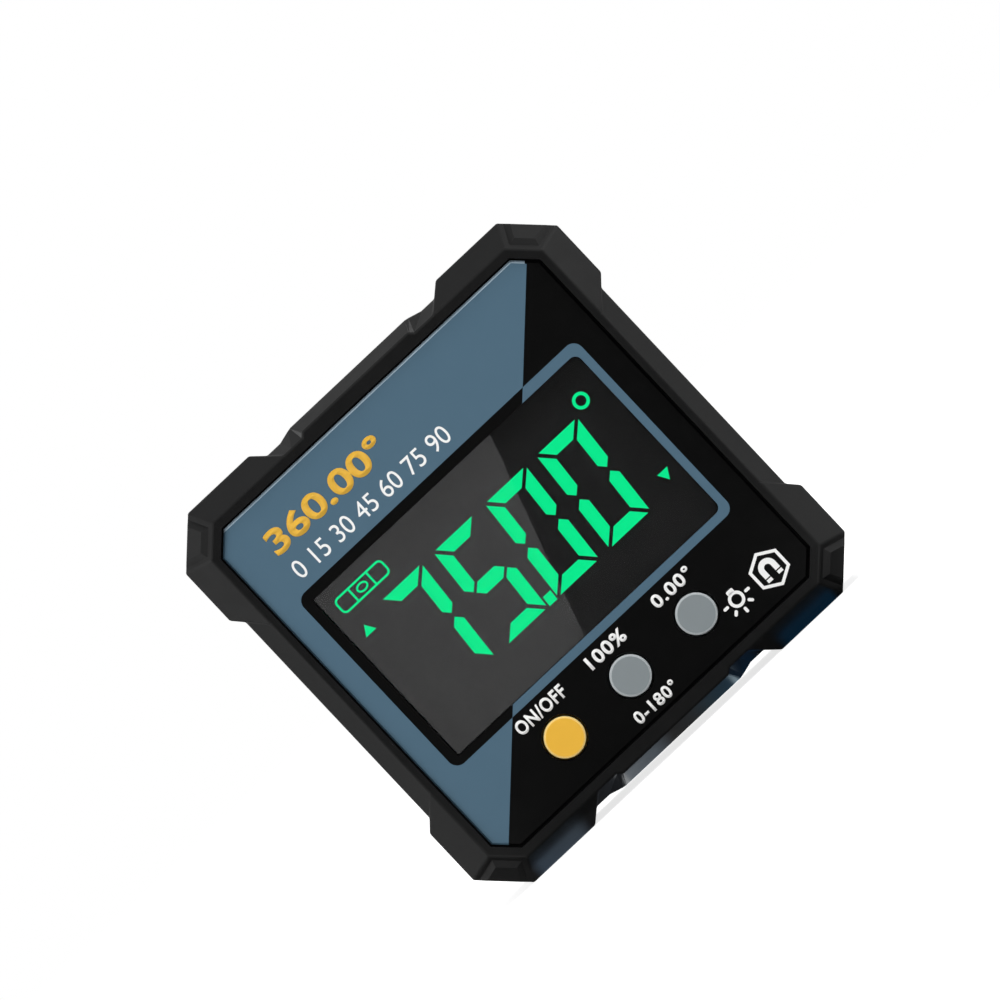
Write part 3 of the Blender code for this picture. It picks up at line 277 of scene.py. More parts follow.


# two close tones in patches, paler edges in patches that are partly wear and partly a painted edge
# highlight, a painted highlight on round edges, gloss that varies with handling, and a fine grain
def makeSurface(name, look):
    finish = Finish(name)
    shader = finish.shader
    colour = finish.blend(finish.noise(surface["patch"]), look["tone"], look["otherTone"])
    # paler edges in patches: partly wear, partly a painted edge highlight
    if "edgeWearAndHighlightTone" in look:
        edgeWearAndHighlightPatches = finish.ranged(finish.noise(surface["wearAndHighlightPatch"], 4), 0.3, 1.0)
        wearAndHighlightMask = finish.math("MULTIPLY", finish.edges(surface["edgeRadius"]), edgeWearAndHighlightPatches)
        colour = finish.blend(wearAndHighlightMask, colour, look["edgeWearAndHighlightTone"])
    # painted highlight: a paler tone where a round edge turns away from straight ahead
    if "paintedRoundHighlightTone" in look:
        colour = finish.blend(finish.turned(), colour, look["paintedRoundHighlightTone"])
    finish.link(colour, shader["Base Color"])
    gloss = finish.ranged(finish.noise(surface["glossPatch"], 4), *look["gloss"])
    finish.link(gloss, shader["Roughness"])
    grain = finish.noise(look["grain"] * mm, 3, look.get("stretch", (1, 1, 1)))
    finish.link(finish.bump(grain, look["grainDepth"] * mm), shader["Normal"])
    shader["Metallic"].default_value = look.get("metallic", 0.0)
    shader["Specular IOR Level"].default_value = look.get("shine", 0.5)
    return finish.material


# gloss is the range of roughness, and the grain's size and depth are in mm
looks = {
    "casePlastic": {
        "tone": (0.0066, 0.0067, 0.0068), "otherTone": (0.0082, 0.0083, 0.0084),
        # the edge tone is partly wear and partly a painted edge highlight
        "edgeWearAndHighlightTone": (0.019, 0.019, 0.0195),
        "gloss": (0.34, 0.42), "grain": 0.14, "grainDepth": 0.005, "shine": 0.28,
    },
    "panelBlue": {
        "tone": (0.071, 0.138, 0.196), "otherTone": (0.074, 0.142, 0.202),
        "gloss": (0.36, 0.42), "grain": 0.08, "grainDepth": 0.0008, "shine": 0.3,
    },
    "inkWhite": {
        "tone": (0.86, 0.86, 0.85), "otherTone": (0.91, 0.91, 0.9),
        "gloss": (0.35, 0.45), "grain": 0.05, "grainDepth": 0.001, "shine": 0.3,
    },
    "inkYellow": {
        "tone": (0.78, 0.44, 0.048), "otherTone": (0.82, 0.47, 0.053),
        "gloss": (0.35, 0.45), "grain": 0.05, "grainDepth": 0.001, "shine": 0.3,
    },
    "buttonYellow": {
        "tone": (0.83, 0.46, 0.038), "otherTone": (0.86, 0.477, 0.042),
        # the round tone is a painted highlight on the button's round edge
        "paintedRoundHighlightTone": (0.95, 0.75, 0.32),
        "gloss": (0.38, 0.46), "grain": 0.1, "grainDepth": 0.002, "shine": 0.4,
    },
    "buttonGrey": {
        "tone": (0.222, 0.252, 0.264), "otherTone": (0.236, 0.266, 0.278),
        # the round tone is a painted highlight on the button's round edge
        "paintedRoundHighlightTone": (0.6, 0.64, 0.65),
        "gloss": (0.38, 0.46), "grain": 0.1, "grainDepth": 0.002, "shine": 0.4,
    },
    "displayGlass": {
        "tone": (0.0106, 0.0108, 0.0107), "otherTone": (0.0114, 0.0115, 0.0114),
        "gloss": (0.003, 0.006), "grain": 4, "grainDepth": 0.0001, "shine": 0.5,
    },
    "whitePlastic": {
        "tone": (0.6, 0.6, 0.57), "otherTone": (0.66, 0.66, 0.63),
        "gloss": (0.42, 0.52), "grain": 0.2, "grainDepth": 0.004,
    },
    "milkyPlastic": {
        "tone": (0.72, 0.78, 0.76), "otherTone": (0.78, 0.83, 0.81),
        "gloss": (0.18, 0.28), "grain": 0.3, "grainDepth": 0.002,
    },
    "lampResin": {
        "tone": (0.85, 0.78, 0.4), "otherTone": (0.88, 0.82, 0.5),
        "gloss": (0.2, 0.3), "grain": 0.1, "grainDepth": 0.002,
    },
    "chipResin": {
        "tone": (0.012, 0.012, 0.013), "otherTone": (0.018, 0.018, 0.019),
        "gloss": (0.5, 0.6), "grain": 0.06, "grainDepth": 0.004,
    },
    "canMetal": {
        "tone": (0.62, 0.62, 0.6), "otherTone": (0.7, 0.7, 0.69), "stretch": (1, 1, 8),
        "gloss": (0.22, 0.32), "grain": 0.05, "grainDepth": 0.001, "metallic": 1.0,
    },
    "blueSleeve": {
        "tone": (0.02, 0.03, 0.09), "otherTone": (0.025, 0.036, 0.1),
        "gloss": (0.3, 0.4), "grain": 0.3, "grainDepth": 0.003,
    },
    "plungerPlastic": {
        "tone": (0.012, 0.012, 0.012), "otherTone": (0.02, 0.02, 0.02),
        "gloss": (0.4, 0.5), "grain": 0.1, "grainDepth": 0.003,
    },
    "switchSteel": {
        "tone": (0.5, 0.5, 0.49), "otherTone": (0.58, 0.58, 0.57), "stretch": (10, 1, 1),
        "gloss": (0.28, 0.38), "grain": 0.04, "grainDepth": 0.001, "metallic": 1.0,
    },
    "springSteel": {
        "tone": (0.6, 0.6, 0.58), "otherTone": (0.68, 0.68, 0.66),
        "gloss": (0.18, 0.28), "grain": 0.1, "grainDepth": 0.001, "metallic": 1.0,
    },
    "contactNickel": {
        "tone": (0.64, 0.6, 0.54), "otherTone": (0.72, 0.69, 0.63), "stretch": (1, 8, 1),
        "gloss": (0.22, 0.34), "grain": 0.05, "grainDepth": 0.001, "metallic": 1.0,
    },
    "magnetNickel": {
        "tone": (0.66, 0.66, 0.65), "otherTone": (0.74, 0.74, 0.73),
        "gloss": (0.14, 0.26), "grain": 0.2, "grainDepth": 0.001, "metallic": 1.0,
    },
    "screwZinc": {
        "tone": (0.16, 0.16, 0.17), "otherTone": (0.24, 0.24, 0.25),
        "gloss": (0.3, 0.42), "grain": 0.08, "grainDepth": 0.002, "metallic": 1.0,
    },
}
finishes = {name: makeSurface(name, look) for name, look in looks.items()}

# the print's two colours meet on a line that rises to the right, given by two places on it
colourLine = {"low": (-21.376, -21.728), "high": (23.513, 23.49)}
lineRun = Vector(colourLine["high"]) - Vector(colourLine["low"])
towardsBlack = (lineRun.y, -lineRun.x)

panelLook = {
    "black": (0.0016, 0.0016, 0.0016), "otherBlack": (0.0021, 0.0021, 0.0022),
    "blueFrom": 24.0, "paintedHighlightFrom": 25.18, "paintedHighlightCorner": 48.09,  # in mm from the middle
    # pale is the colour of the painted highlight along the panel's top and upper right corner
    "pale": (0.4, 0.52, 0.61), "patch": 3 * mm, "wearAndHighlightPatch": 5 * mm,
    "gloss": (0.3, 0.36), "grain": 0.08 * mm, "grainDepth": 0.0006 * mm, "shine": 0.3,
}


# black panel, whose outermost edge is blue past the colour line, with a pale painted highlight in patches
# along its top and its upper right corner
def makePanelFinish():
    look = panelLook
    finish = Finish("panelTwoTone")
    shader = finish.shader
    split = finish.add("ShaderNodeSeparateXYZ")
    finish.link(finish.place, split.inputs[0])
    across = finish.math("SUBTRACT", split.outputs["X"], middle.x)
    up = finish.math("SUBTRACT", split.outputs["Z"], middle.z)
    slope = lineRun.x / lineRun.y
    start = (colourLine["low"][0] - colourLine["low"][1] * slope) * mm
    past = finish.math("SUBTRACT", finish.math("MULTIPLY", up, slope), across)
    past = finish.math("GREATER_THAN", past, -start)
    outer = finish.math("MAXIMUM", finish.math("ABSOLUTE", across), finish.math("ABSOLUTE", up))
    outer = finish.math("GREATER_THAN", outer, look["blueFrom"] * mm)
    # painted highlight: pale in patches along the top edge and the upper right corner
    wearAndHighlightMask = finish.math("GREATER_THAN", up, look["paintedHighlightFrom"] * mm)
    corner = finish.math("GREATER_THAN", finish.math("ADD", across, up), look["paintedHighlightCorner"] * mm)
    wearAndHighlightMask = finish.math("MAXIMUM", wearAndHighlightMask, corner)
    wearAndHighlightMask = finish.math("MULTIPLY", wearAndHighlightMask, finish.ranged(finish.noise(look["wearAndHighlightPatch"]), 0.7, 1.0))
    patches = finish.noise(look["patch"])
    black = finish.blend(patches, look["black"], look["otherBlack"])
    blue = finish.blend(patches, looks["panelBlue"]["tone"], looks["panelBlue"]["otherTone"])
    blue = finish.blend(wearAndHighlightMask, blue, look["pale"])
    finish.link(finish.blend(finish.math("MULTIPLY", past, outer), black, blue), shader["Base Color"])
    gloss = finish.ranged(finish.noise(surface["glossPatch"], 4), *look["gloss"])
    finish.link(gloss, shader["Roughness"])
    finish.link(finish.bump(finish.noise(look["grain"], 3), look["grainDepth"]), shader["Normal"])
    shader["Specular IOR Level"].default_value = look["shine"]
    return finish.material


windowLook = {"bend": 1.1, "haze": (0.0, 0.006), "hazePatch": 3 * mm}  # coated against reflections


# clear plastic, all but free of haze
def makeWindowFinish():
    look = windowLook
    finish = Finish("windowPlastic")
    finish.shader["Base Color"].default_value = (1, 1, 1, 1)
    finish.shader["Transmission Weight"].default_value = 1.0
    finish.shader["IOR"].default_value = look["bend"]
    finish.link(finish.ranged(finish.noise(look["hazePatch"], 3), *look["haze"]), finish.shader["Roughness"])
    return finish.material


glowLook = {"light": (0.003, 0.77, 0.25), "otherLight": (0.004, 0.83, 0.275), "under": (0.0, 0.02, 0.01)}


# green light of the lit segments
def makeGlowFinish():
    look = glowLook
    finish = Finish("segmentGlow")
    finish.shader["Base Color"].default_value = (*look["under"], 1)
    lit = finish.blend(finish.noise(0.6 * mm, 1), look["light"], look["otherLight"])
    finish.link(lit, finish.shader["Emission Color"])
    finish.shader["Emission Strength"].default_value = 1.0
    finish.shader["Roughness"].default_value = 0.4
    finish.shader["Specular IOR Level"].default_value = 0.0
    return finish.material


rubberLook = {"layer": 1.2 * mm, "dark": (0.02, 0.02, 0.02), "pale": (0.2, 0.2, 0.19), "gloss": (0.65, 0.8)}


# conductive rubber, in thin dark and pale layers along the strip
def makeRubberFinish():
    look = rubberLook
    finish = Finish("stripedRubber")
    wave = finish.add("ShaderNodeTexWave", wave_type="BANDS", bands_direction="X")
    wave.inputs["Scale"].default_value = 1 / look["layer"]
    finish.link(finish.place, wave.inputs["Vector"])
    striped = finish.blend(wave.outputs["Fac"], look["dark"], look["pale"])
    finish.link(striped, finish.shader["Base Color"])
    finish.link(finish.ranged(finish.noise(1 * mm, 3), *look["gloss"]), finish.shader["Roughness"])
    return finish.material


boardLook = {
    "lacquer": (0.012, 0.09, 0.035), "otherLacquer": (0.015, 0.11, 0.04), "run": (0.05, 0.22, 0.08),
    "pitch": 4 * mm, "runShare": 0.03, "runDepth": 0.01 * mm, "gloss": (0.28, 0.4),
}


# green lacquer over copper runs
def makeBoardFinish():
    look = boardLook
    finish = Finish("boardLaminate")
    turned = finish.add("ShaderNodeMapping")
    turned.inputs["Rotation"].default_value = (radians(90), 0, 0)
    finish.link(finish.place, turned.inputs["Vector"])
    runs = finish.add("ShaderNodeTexBrick")
    runs.inputs["Color1"].default_value = (*look["lacquer"], 1)
    runs.inputs["Color2"].default_value = (*look["otherLacquer"], 1)
    runs.inputs["Mortar"].default_value = (*look["run"], 1)
    runs.inputs["Scale"].default_value = 1 / look["pitch"]
    runs.inputs["Mortar Size"].default_value = look["runShare"]
    finish.link(turned.outputs["Vector"], runs.inputs["Vector"])
    finish.link(runs.outputs["Color"], finish.shader["Base Color"])
    finish.link(finish.ranged(finish.noise(1 * mm, 3), *look["gloss"]), finish.shader["Roughness"])
    finish.link(finish.bump(runs.outputs["Fac"], look["runDepth"]), finish.shader["Normal"])
    return finish.material


cellSleeve = {
    "thickness": 0.05, "lip": 0.9, "nub": 1.0, "gap": 0.005, "edgeRound": 0.12,  # mm
    "ink": (0.03, 0.045, 0.06), "band": (0.72, 0.36, 0.05), "bandStart": 0.76, "bandEnd": 0.8,
    "capInk": (0.55, 0.57, 0.58), "rubbed": (0.3, 0.31, 0.32), "gloss": (0.22, 0.36),
}


# printed film round a cell: dark, with a narrow band and a pale end at the positive side
def makeSleeveFinish(name, negativeX, positiveX):
    look = cellSleeve
    finish = Finish(name)
    split = finish.add("ShaderNodeSeparateXYZ")
    finish.link(finish.place, split.inputs[0])
    along = finish.ranged(split.outputs["X"], 0.0, 1.0, negativeX, positiveX)
    inBand = finish.math("GREATER_THAN", along, look["bandStart"])
    pastBand = finish.math("GREATER_THAN", along, look["bandEnd"])
    colour = finish.blend(inBand, look["ink"], look["band"])
    colour = finish.blend(pastBand, colour, look["capInk"])
    rubbed = finish.ranged(finish.noise(1.2 * mm, 5), 0.0, 0.25, 0.5, 0.8)
    finish.link(finish.blend(rubbed, colour, look["rubbed"]), finish.shader["Base Color"])
    gloss = finish.ranged(finish.noise(surface["glossPatch"], 4), *look["gloss"])
    finish.link(gloss, finish.shader["Roughness"])
    finish.link(finish.bump(finish.noise(1.5 * mm, 3), 0.01 * mm), finish.shader["Normal"])
    finish.shader["Metallic"].default_value = 0.25
    return finish.material


segmentGlow = makeGlowFinish()
print("materials made")

nodeFinishes = {
    "front_shell": finishes["casePlastic"],
    "rear_shell": finishes["casePlastic"],
    "battery_door": finishes["casePlastic"],
    "face_panel": makePanelFinish(),
    "window_lens": makeWindowFinish(),
    "lcd_glass": finishes["displayGlass"],
    "lcd_frame": finishes["whitePlastic"],
    "light_guide": finishes["milkyPlastic"],
    "backlight_led": finishes["lampResin"],
    "contact_rubber": makeRubberFinish(),
    "main_board": makeBoardFinish(),
    "controller_chip": finishes["chipResin"],
    "tilt_sensor": finishes["canMetal"],
    "crystal_can": finishes["canMetal"],
    "capacitor": finishes["blueSleeve"],
    "power_button": finishes["buttonYellow"],
    "hold_button": finishes["buttonGrey"],
    "zero_button": finishes["buttonGrey"],
    "battery_cell_1": finishes["canMetal"],
    "battery_cell_2": finishes["canMetal"],
    "cell_spring_1": finishes["springSteel"],
    "cell_spring_2": finishes["springSteel"],
    "contact_plus": finishes["contactNickel"],
    "contact_minus": finishes["contactNickel"],
    "contact_bridge": finishes["contactNickel"],
    "base_magnet_left": finishes["magnetNickel"],
    "base_magnet_right": finishes["magnetNickel"],
}
for name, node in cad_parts.items():
    if name.endswith("_plunger"):
        nodeFinishes[name] = finishes["plungerPlastic"]
    elif name.endswith("_switch"):
        nodeFinishes[name] = finishes["switchSteel"]
    elif "_screw_" in name:
        nodeFinishes[name] = finishes["screwZinc"]
    node.data.materials.clear()
    node.data.materials.append(nodeFinishes[name])
print("nodes dressed")

panelPrint = {
    "depth": 0.02 * mm, "reach": 25.15, "cornerCut": 2.25,
    "bandLow": (-22.51, -13.84), "bandHigh": (22.265, 13.6), "bandRadius": 1.3,
    "windowLow": (-21.225, -12.75), "windowHigh": (21.225, 12.25), "windowRadius": 0.95,
}


def printPanel():
    look = panelPrint
    reach, depth = look["reach"], look["depth"]

    def addBand(name, back, thickness):
        band = addPlate(name, look["bandLow"], look["bandHigh"], back, thickness)
        return cutCorners(band, look["bandRadius"], 8)

    field = addPlate("print_blue_field", (-reach, -reach), (reach, reach), panelFace, depth)
    cutCorners(field, look["cornerCut"])
    trim(field, colourLine["low"], towardsBlack)
    cutWith(field, addBand("band_hole", panelFace + mm, 2 * mm))
    band = addBand("print_blue_band", panelFace, depth)
    trim(band, colourLine["low"], (-towardsBlack[0], -towardsBlack[1]))
    opening = addPlate("window_hole", look["windowLow"], look["windowHigh"], panelFace + mm, 2 * mm)
    cutCorners(opening, look["windowRadius"], 8, lambda across, up: across > 0)
    cutWith(band, opening)
    for piece in (field, band):
        finished(closeSeams(piece), "case", finishes["panelBlue"])


printPanel()

inkDepth = 0.05 * mm


# lettering that fills a rectangle of the panel
def printText(name, text, low, high, ink, weight, spacing):
    deselect()
    bpy.ops.object.text_add()
    piece = bpy.context.active_object
    piece.data.body = text
    piece.data.offset = weight
    piece.data.space_character = spacing
    piece.data.resolution_u = 8
    bpy.ops.object.convert(target="MESH")
    piece = nameBoth(bpy.context.active_object, name)
    startEdit(piece)
    bpy.ops.mesh.remove_doubles(threshold=0.0001)
    bpy.ops.mesh.extrude_region_move(TRANSFORM_OT_translate={"value": (0, 0, 1)})
    endEdit()
    corners = [Vector(corner) for corner in piece.bound_box]
    left, right = corners[0].x, corners[6].x
    bottom, top = corners[0].y, corners[6].y
    width, height = (high[0] - low[0]) / (right - left), (high[1] - low[1]) / (top - bottom)
    piece.scale = (width * mm, height * mm, inkDepth)
    piece.rotation_euler = (radians(90), 0, 0)
    piece.location = (
        middle.x + (low[0] - left * width) * mm, panelFace, middle.z + (low[1] - bottom * height) * mm,
    )
    applyPlace(piece)
    return finished(closeSeams(piece), "case", finishes[ink])


# text, lower left and upper right corner in mm, ink, weight and spacing
lettering = {
    "print_range": ("360.00°", (-20.55, 18.62), (-2.7, 21.96), "inkYellow", 0.03, 1.0),
    "print_scale": ("0 15 30 45 60 75 90", (-20.44, 14.86), (3.93, 17.15), "inkWhite", 0.0, 1.0),
    "print_power": ("ON/OFF", (-14.21, -16.33), (-6.81, -14.56), "inkWhite", 0.03, 1.12),
    "print_slope": ("100%", (-2.85, -16.33), (2.85, -14.56), "inkWhite", 0.03, 1.12),
    "print_zero": ("0.00°", (7.62, -16.33), (13.52, -14.56), "inkWhite", 0.03, 1.12),
    "print_hold": ("0-180°", (-3.17, -24.84), (3.17, -23.14), "inkWhite", 0.03, 1.12),
}
for name, setting in lettering.items():
    printText(name, *setting)

lampSign = {
    "place": (15.21, -21.74), "radius": 1.02, "stroke": 0.39, "capHalf": 0.49, "cap": (0.9, 1.43),
    "rays": (180, 225, 270, 315, 360), "rayStart": 1.28, "rayEnd": 2.06,
}


# a ring with a cap above it and rays round its lower half
def printLampSign():
    look = lampSign
    across, up = look["place"]
    ring = addDisc("lamp_ring", 40, look["radius"], look["place"], panelFace, inkDepth)
    pieces = [hollow(ring, look["stroke"])]
    half, (capLow, capHigh) = look["capHalf"], look["cap"]
    capPlaces = (across - half, up + capLow), (across + half, up + capHigh)
    cap = addPlate("lamp_cap", *capPlaces, panelFace, inkDepth)
    pieces.append(cutCorners(cap, half / 3, 3, lambda x, z: z > up + capLow + 0.1))
    for degrees in look["rays"]:
        run = (look["rayStart"] + look["rayEnd"]) / 2
        x, z = across + run * cos(radians(degrees)), up + run * sin(radians(degrees))
        long, wide = (look["rayEnd"] - look["rayStart"]) / 2, look["stroke"] / 2
        ray = addPlate("lamp_ray", (x - long, z - wide), (x + long, z + wide), panelFace, inkDepth)
        cutCorners(ray, wide * 0.98, 4)
        startEdit(ray)
        centre = (middle.x + x * mm, panelFace, middle.z + z * mm)
        bpy.ops.transform.rotate(value=radians(degrees), orient_axis="Y", center_override=centre)
        endEdit()
        pieces.append(ray)
    finished(joinPieces("print_lamp_sign", pieces), "case", finishes["inkWhite"])


magnetSign = {
    "place": (20.43, -21.79), "radius": 2.52, "stroke": 0.38, "bowOuter": 1.17, "bowInner": 0.46,
    "archUp": 0.23, "legEnd": -0.62, "tip": (-1.21, -0.78),
}


# a horseshoe magnet in a six-sided frame
def printMagnetSign():
    look = magnetSign
    across, up = look["place"]
    edge = addDisc("magnet_edge", 6, look["radius"], look["place"], panelFace, inkDepth)
    hollow(edge, look["stroke"])
    arch = up + look["archUp"]
    bow = addPlate(
        "magnet_bow", (across + look["bowInner"], up + look["legEnd"]), (across + look["bowOuter"], arch),
        panelFace, inkDepth,
    )
    startEdit(bow, "FACE", lambda face: face.normal.z > 0.9)
    bpy.ops.mesh.spin(
        steps=20, angle=pi, center=(middle.x + across * mm, 0, middle.z + arch * mm), axis=(0, 1, 0),
    )
    bpy.ops.mesh.extrude_region_move(
        TRANSFORM_OT_translate={"value": (0, 0, (look["legEnd"] - look["archUp"]) * mm)}
    )
    endEdit()
    pieces = [edge, closeSeams(bow)]
    for side in (-1, 1):
        near, far = sorted((across + side * look["bowInner"], across + side * look["bowOuter"]))
        low, high = look["tip"]
        pieces.append(addPlate("magnet_tip", (near, up + low), (far, up + high), panelFace, inkDepth))
    finished(joinPieces("print_magnet_sign", pieces), "case", finishes["inkWhite"])


printLampSign()
printMagnetSign()
print("panel printed")

digit = {
    "shown": "7500", "places": (-12.82, -4.32, 4.005, 12.32), "up": -0.294, "slant": 0.085,
    "halfWidth": 3.29, "halfHeight": 6.965, "bar": 1.61, "side": 1.64, "middleBar": 1.76,
    "barEnd": 2.913, "sideEnd": 6.69, "sideTip": 0.29, "middleTip": 2.23, "depth": 0.03 * mm,
    "point": ((-0.75, -7.36), (0.47, -6.02)),
}
# a is the top bar, b to f follow clockwise, and g is the middle
litBars = {"0": "abcdef", "5": "acdfg", "7": "abc"}


# one bar of a digit: a plate with its ends mitred
def addBar(letter):
    w, h, t, s = (digit[key] for key in ("halfWidth", "halfHeight", "bar", "side"))
    end, sideEnd, tip = digit["barEnd"], digit["sideEnd"], digit["sideTip"]
    half, middleTip = digit["middleBar"] / 2, digit["middleTip"]
    shapes = {
        "a": ((-w, h - t), (w, h), [((-end, h), (-1, -1)), ((end, h), (1, -1))]),
        "b": ((w - s, 0), (w, h), [
            ((w, sideEnd), (-1, 1)), ((w - s / 2, tip), (-1, -1)), ((w - s / 2, tip), (1, -1)),
        ]),
        "g": ((-w, -half), (w, half), [
            ((side * middleTip, 0), (side, rise)) for side in (-1, 1) for rise in (-1, 1)
        ]),
    }
    source, flipX, flipZ = {
        "a": ("a", 1, 1), "b": ("b", 1, 1), "c": ("b", 1, -1), "d": ("a", 1, -1),
        "e": ("b", -1, -1), "f": ("b", -1, 1), "g": ("g", 1, 1),
    }[letter]
    low, high, trims = shapes[source]
    acrossPair = sorted((low[0] * flipX, high[0] * flipX))
    upPair = sorted((low[1] * flipZ, high[1] * flipZ))
    bar = addPlate(
        "bar_" + letter, (acrossPair[0], upPair[0]), (acrossPair[1], upPair[1]), displayFace, digit["depth"],
    )
    for place, away in trims:
        trim(bar, (place[0] * flipX, place[1] * flipZ), (away[0] * flipX, away[1] * flipZ))
    return bar


def lightDisplay():
    bars = {letter: addBar(letter) for letter in "abcdefg"}
    pieces = []
    for figure, across in zip(digit["shown"], digit["places"]):
        for letter in litBars[figure]:
            bar = bars[letter].copy()
            bar.data = bars[letter].data.copy()
            bpy.context.scene.collection.objects.link(bar)
            bar.location = (across * mm, 0, digit["up"] * mm)
            pieces.append(applyPlace(bar))
    for bar in bars.values():
        bpy.data.objects.remove(bar)
    pieces.append(addPlate("point", *digit["point"], displayFace, digit["depth"]))
    reading = joinPieces("lit_reading", pieces)
    for vertex in reading.data.vertices:  # the figures lean to the right
        vertex.co.x += digit["slant"] * (vertex.co.z - middle.z - digit["up"] * mm)
    finished(reading, "case", segmentGlow)


# small signs of the display, in mm from the middle
displaySigns = {
    "up": {"place": (-18.82, 5.19), "radius": 0.93, "squeeze": 0.92, "turn": 0.0},
    "down": {"place": (19.2, -5.26), "radius": 0.93, "squeeze": 0.97, "turn": pi},
    "degree": {"place": (17.91, 7.79), "radius": 1.06, "stroke": 0.41},
    "vial": {"low": (-19.67, 8.34), "high": (-12.1, 10.57), "stroke": 0.26, "round": 0.7},
    "vialMarks": (-1.45, 1.45), "bubble": {"radius": 0.82, "squeeze": 0.72, "stroke": 0.24},
}


def lightSigns():
    depth = digit["depth"]
    pieces = []
    for name in ("up", "down"):
        look = displaySigns[name]
        pieces.append(addDisc(
            "sign_" + name, 3, look["radius"], look["place"], displayFace, depth,
            look["turn"], look["squeeze"],
        ))
    look = displaySigns["degree"]
    ring = addDisc("sign_degree", 40, look["radius"], look["place"], displayFace, depth)
    pieces.append(hollow(ring, look["stroke"]))
    look = displaySigns["vial"]
    low, high = look["low"], look["high"]
    vial = cutCorners(addPlate("sign_vial", low, high, displayFace, depth), look["round"], 6)
    pieces.append(hollow(vial, look["stroke"]))
    across, up = (low[0] + high[0]) / 2, (low[1] + high[1]) / 2
    half = look["stroke"] / 2
    for mark in displaySigns["vialMarks"]:
        left, right = across + mark - half, across + mark + half
        pieces.append(
            addPlate("vial_mark", (left, low[1] + half), (right, high[1] - half), displayFace, depth)
        )
    look = displaySigns["bubble"]
    bubble = addDisc(
        "sign_bubble", 32, look["radius"], (across, up), displayFace, depth, 0.0, look["squeeze"],
    )
    pieces.append(hollow(bubble, look["stroke"]))
    finished(joinPieces("lit_signs", pieces), "case", segmentGlow)


lightDisplay()
lightSigns()
print("display lit")


# shrink film round a cell, rolled over both ends; towards is 1 where the positive end is at +X
def wrapCell(number, towards):
    look = cellSleeve
    low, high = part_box(f"battery_cell_{number}")
    centre = (low + high) / 2
    radius = (high.z - low.z) / 2 + look["gap"] * mm
    nub = look["nub"] * mm  # the cell's raised positive end stays bare
    start = low.x if towards > 0 else low.x + nub
    end = high.x - nub if towards > 0 else high.x
    deselect()
    bpy.ops.mesh.primitive_cylinder_add(
        vertices=72, radius=radius, depth=end - start, end_fill_type="NOTHING",
        location=((start + end) / 2, centre.y, centre.z), rotation=(0, radians(90), 0),
    )
    sleeve = nameBoth(bpy.context.active_object, f"cell_sleeve_{number}")
    applyPlace(sleeve)
    share = 1 - look["lip"] * mm / radius
    for x in (start, end):
        startEdit(sleeve, "EDGE", lambda a, b: abs(a.x - x) < 0.01 * mm and abs(b.x - x) < 0.01 * mm)
        bpy.ops.mesh.extrude_edges_move()
        bpy.ops.transform.resize(
            value=(1, share, share), center_override=(x, centre.y, centre.z),
        )
        endEdit()
    closeSeams(sleeve)
    applyModifier(sleeve, "SOLIDIFY", thickness=look["thickness"] * mm, offset=1.0)
    applyModifier(
        sleeve, "BEVEL", width=look["edgeRound"] * mm, segments=3, limit_method="ANGLE",
        angle_limit=radians(50),
    )
    activate(sleeve)
    bpy.ops.object.shade_smooth_by_angle(angle=radians(40))
    negative, positive = (start, end) if towards > 0 else (end, start)
    film = makeSleeveFinish(f"sleeveFilm{number}", negative, positive)
    finished(sleeve, "case", film)


for number, towards in ((1, -1), (2, 1)):
    wrapCell(number, towards)
print("cells wrapped")

# the camera stands straight in front and is rolled; the picture is 1000 pixels wide
picture = {"width": 1000, "pixelsPerMm": 8.514, "middleX": 515.5, "middleY": 553.0, "turn": 43.22}
studio = {
    "lens": 300.0, "sensor": 36.0, "clipStart": 0.01, "clipEnd": 50.0, "worldLight": 0.5,
    "floorHalf": 6.0, "floorTone": 0.6, "floorGlow": 0.76,
    "splitTop": 7.72, "splitBottom": -1.18, "splitSide": 22.5, "splitHigh": 13.2, "splitLow": -13.8,
    "splitDistance": 0.5, "splitStrength": 0.97, "restStrength": 0.165,
}
cameraDistance = picture["width"] / picture["pixelsPerMm"] * mm * studio["lens"] / studio["sensor"]
turn = radians(picture["turn"])
imageRight = Vector((cos(turn), 0, -sin(turn)))
imageUp = Vector((sin(turn), 0, cos(turn)))
cameraAcross = (picture["width"] / 2 - picture["middleX"]) / picture["pixelsPerMm"] * mm
cameraUp = (picture["middleY"] - picture["width"] / 2) / picture["pixelsPerMm"] * mm
cameraPlace = Vector((middle.x, panelFace - cameraDistance, middle.z))
cameraPlace += imageRight * cameraAcross + imageUp * cameraUp


def makeCamera():
    camera = bpy.data.objects.new("camera", bpy.data.cameras.new("camera"))
    bpy.context.scene.collection.objects.link(camera)
    camera.data.lens = studio["lens"]
    camera.data.sensor_width = studio["sensor"]
    facing = Matrix.Rotation(radians(90), 4, "X") @ Matrix.Rotation(-turn, 4, "Z")
    camera.matrix_world = Matrix.Translation(cameraPlace) @ facing
    camera.data.clip_start = studio["clipStart"]
    camera.data.clip_end = studio["clipEnd"]
    bpy.context.scene.camera = camera


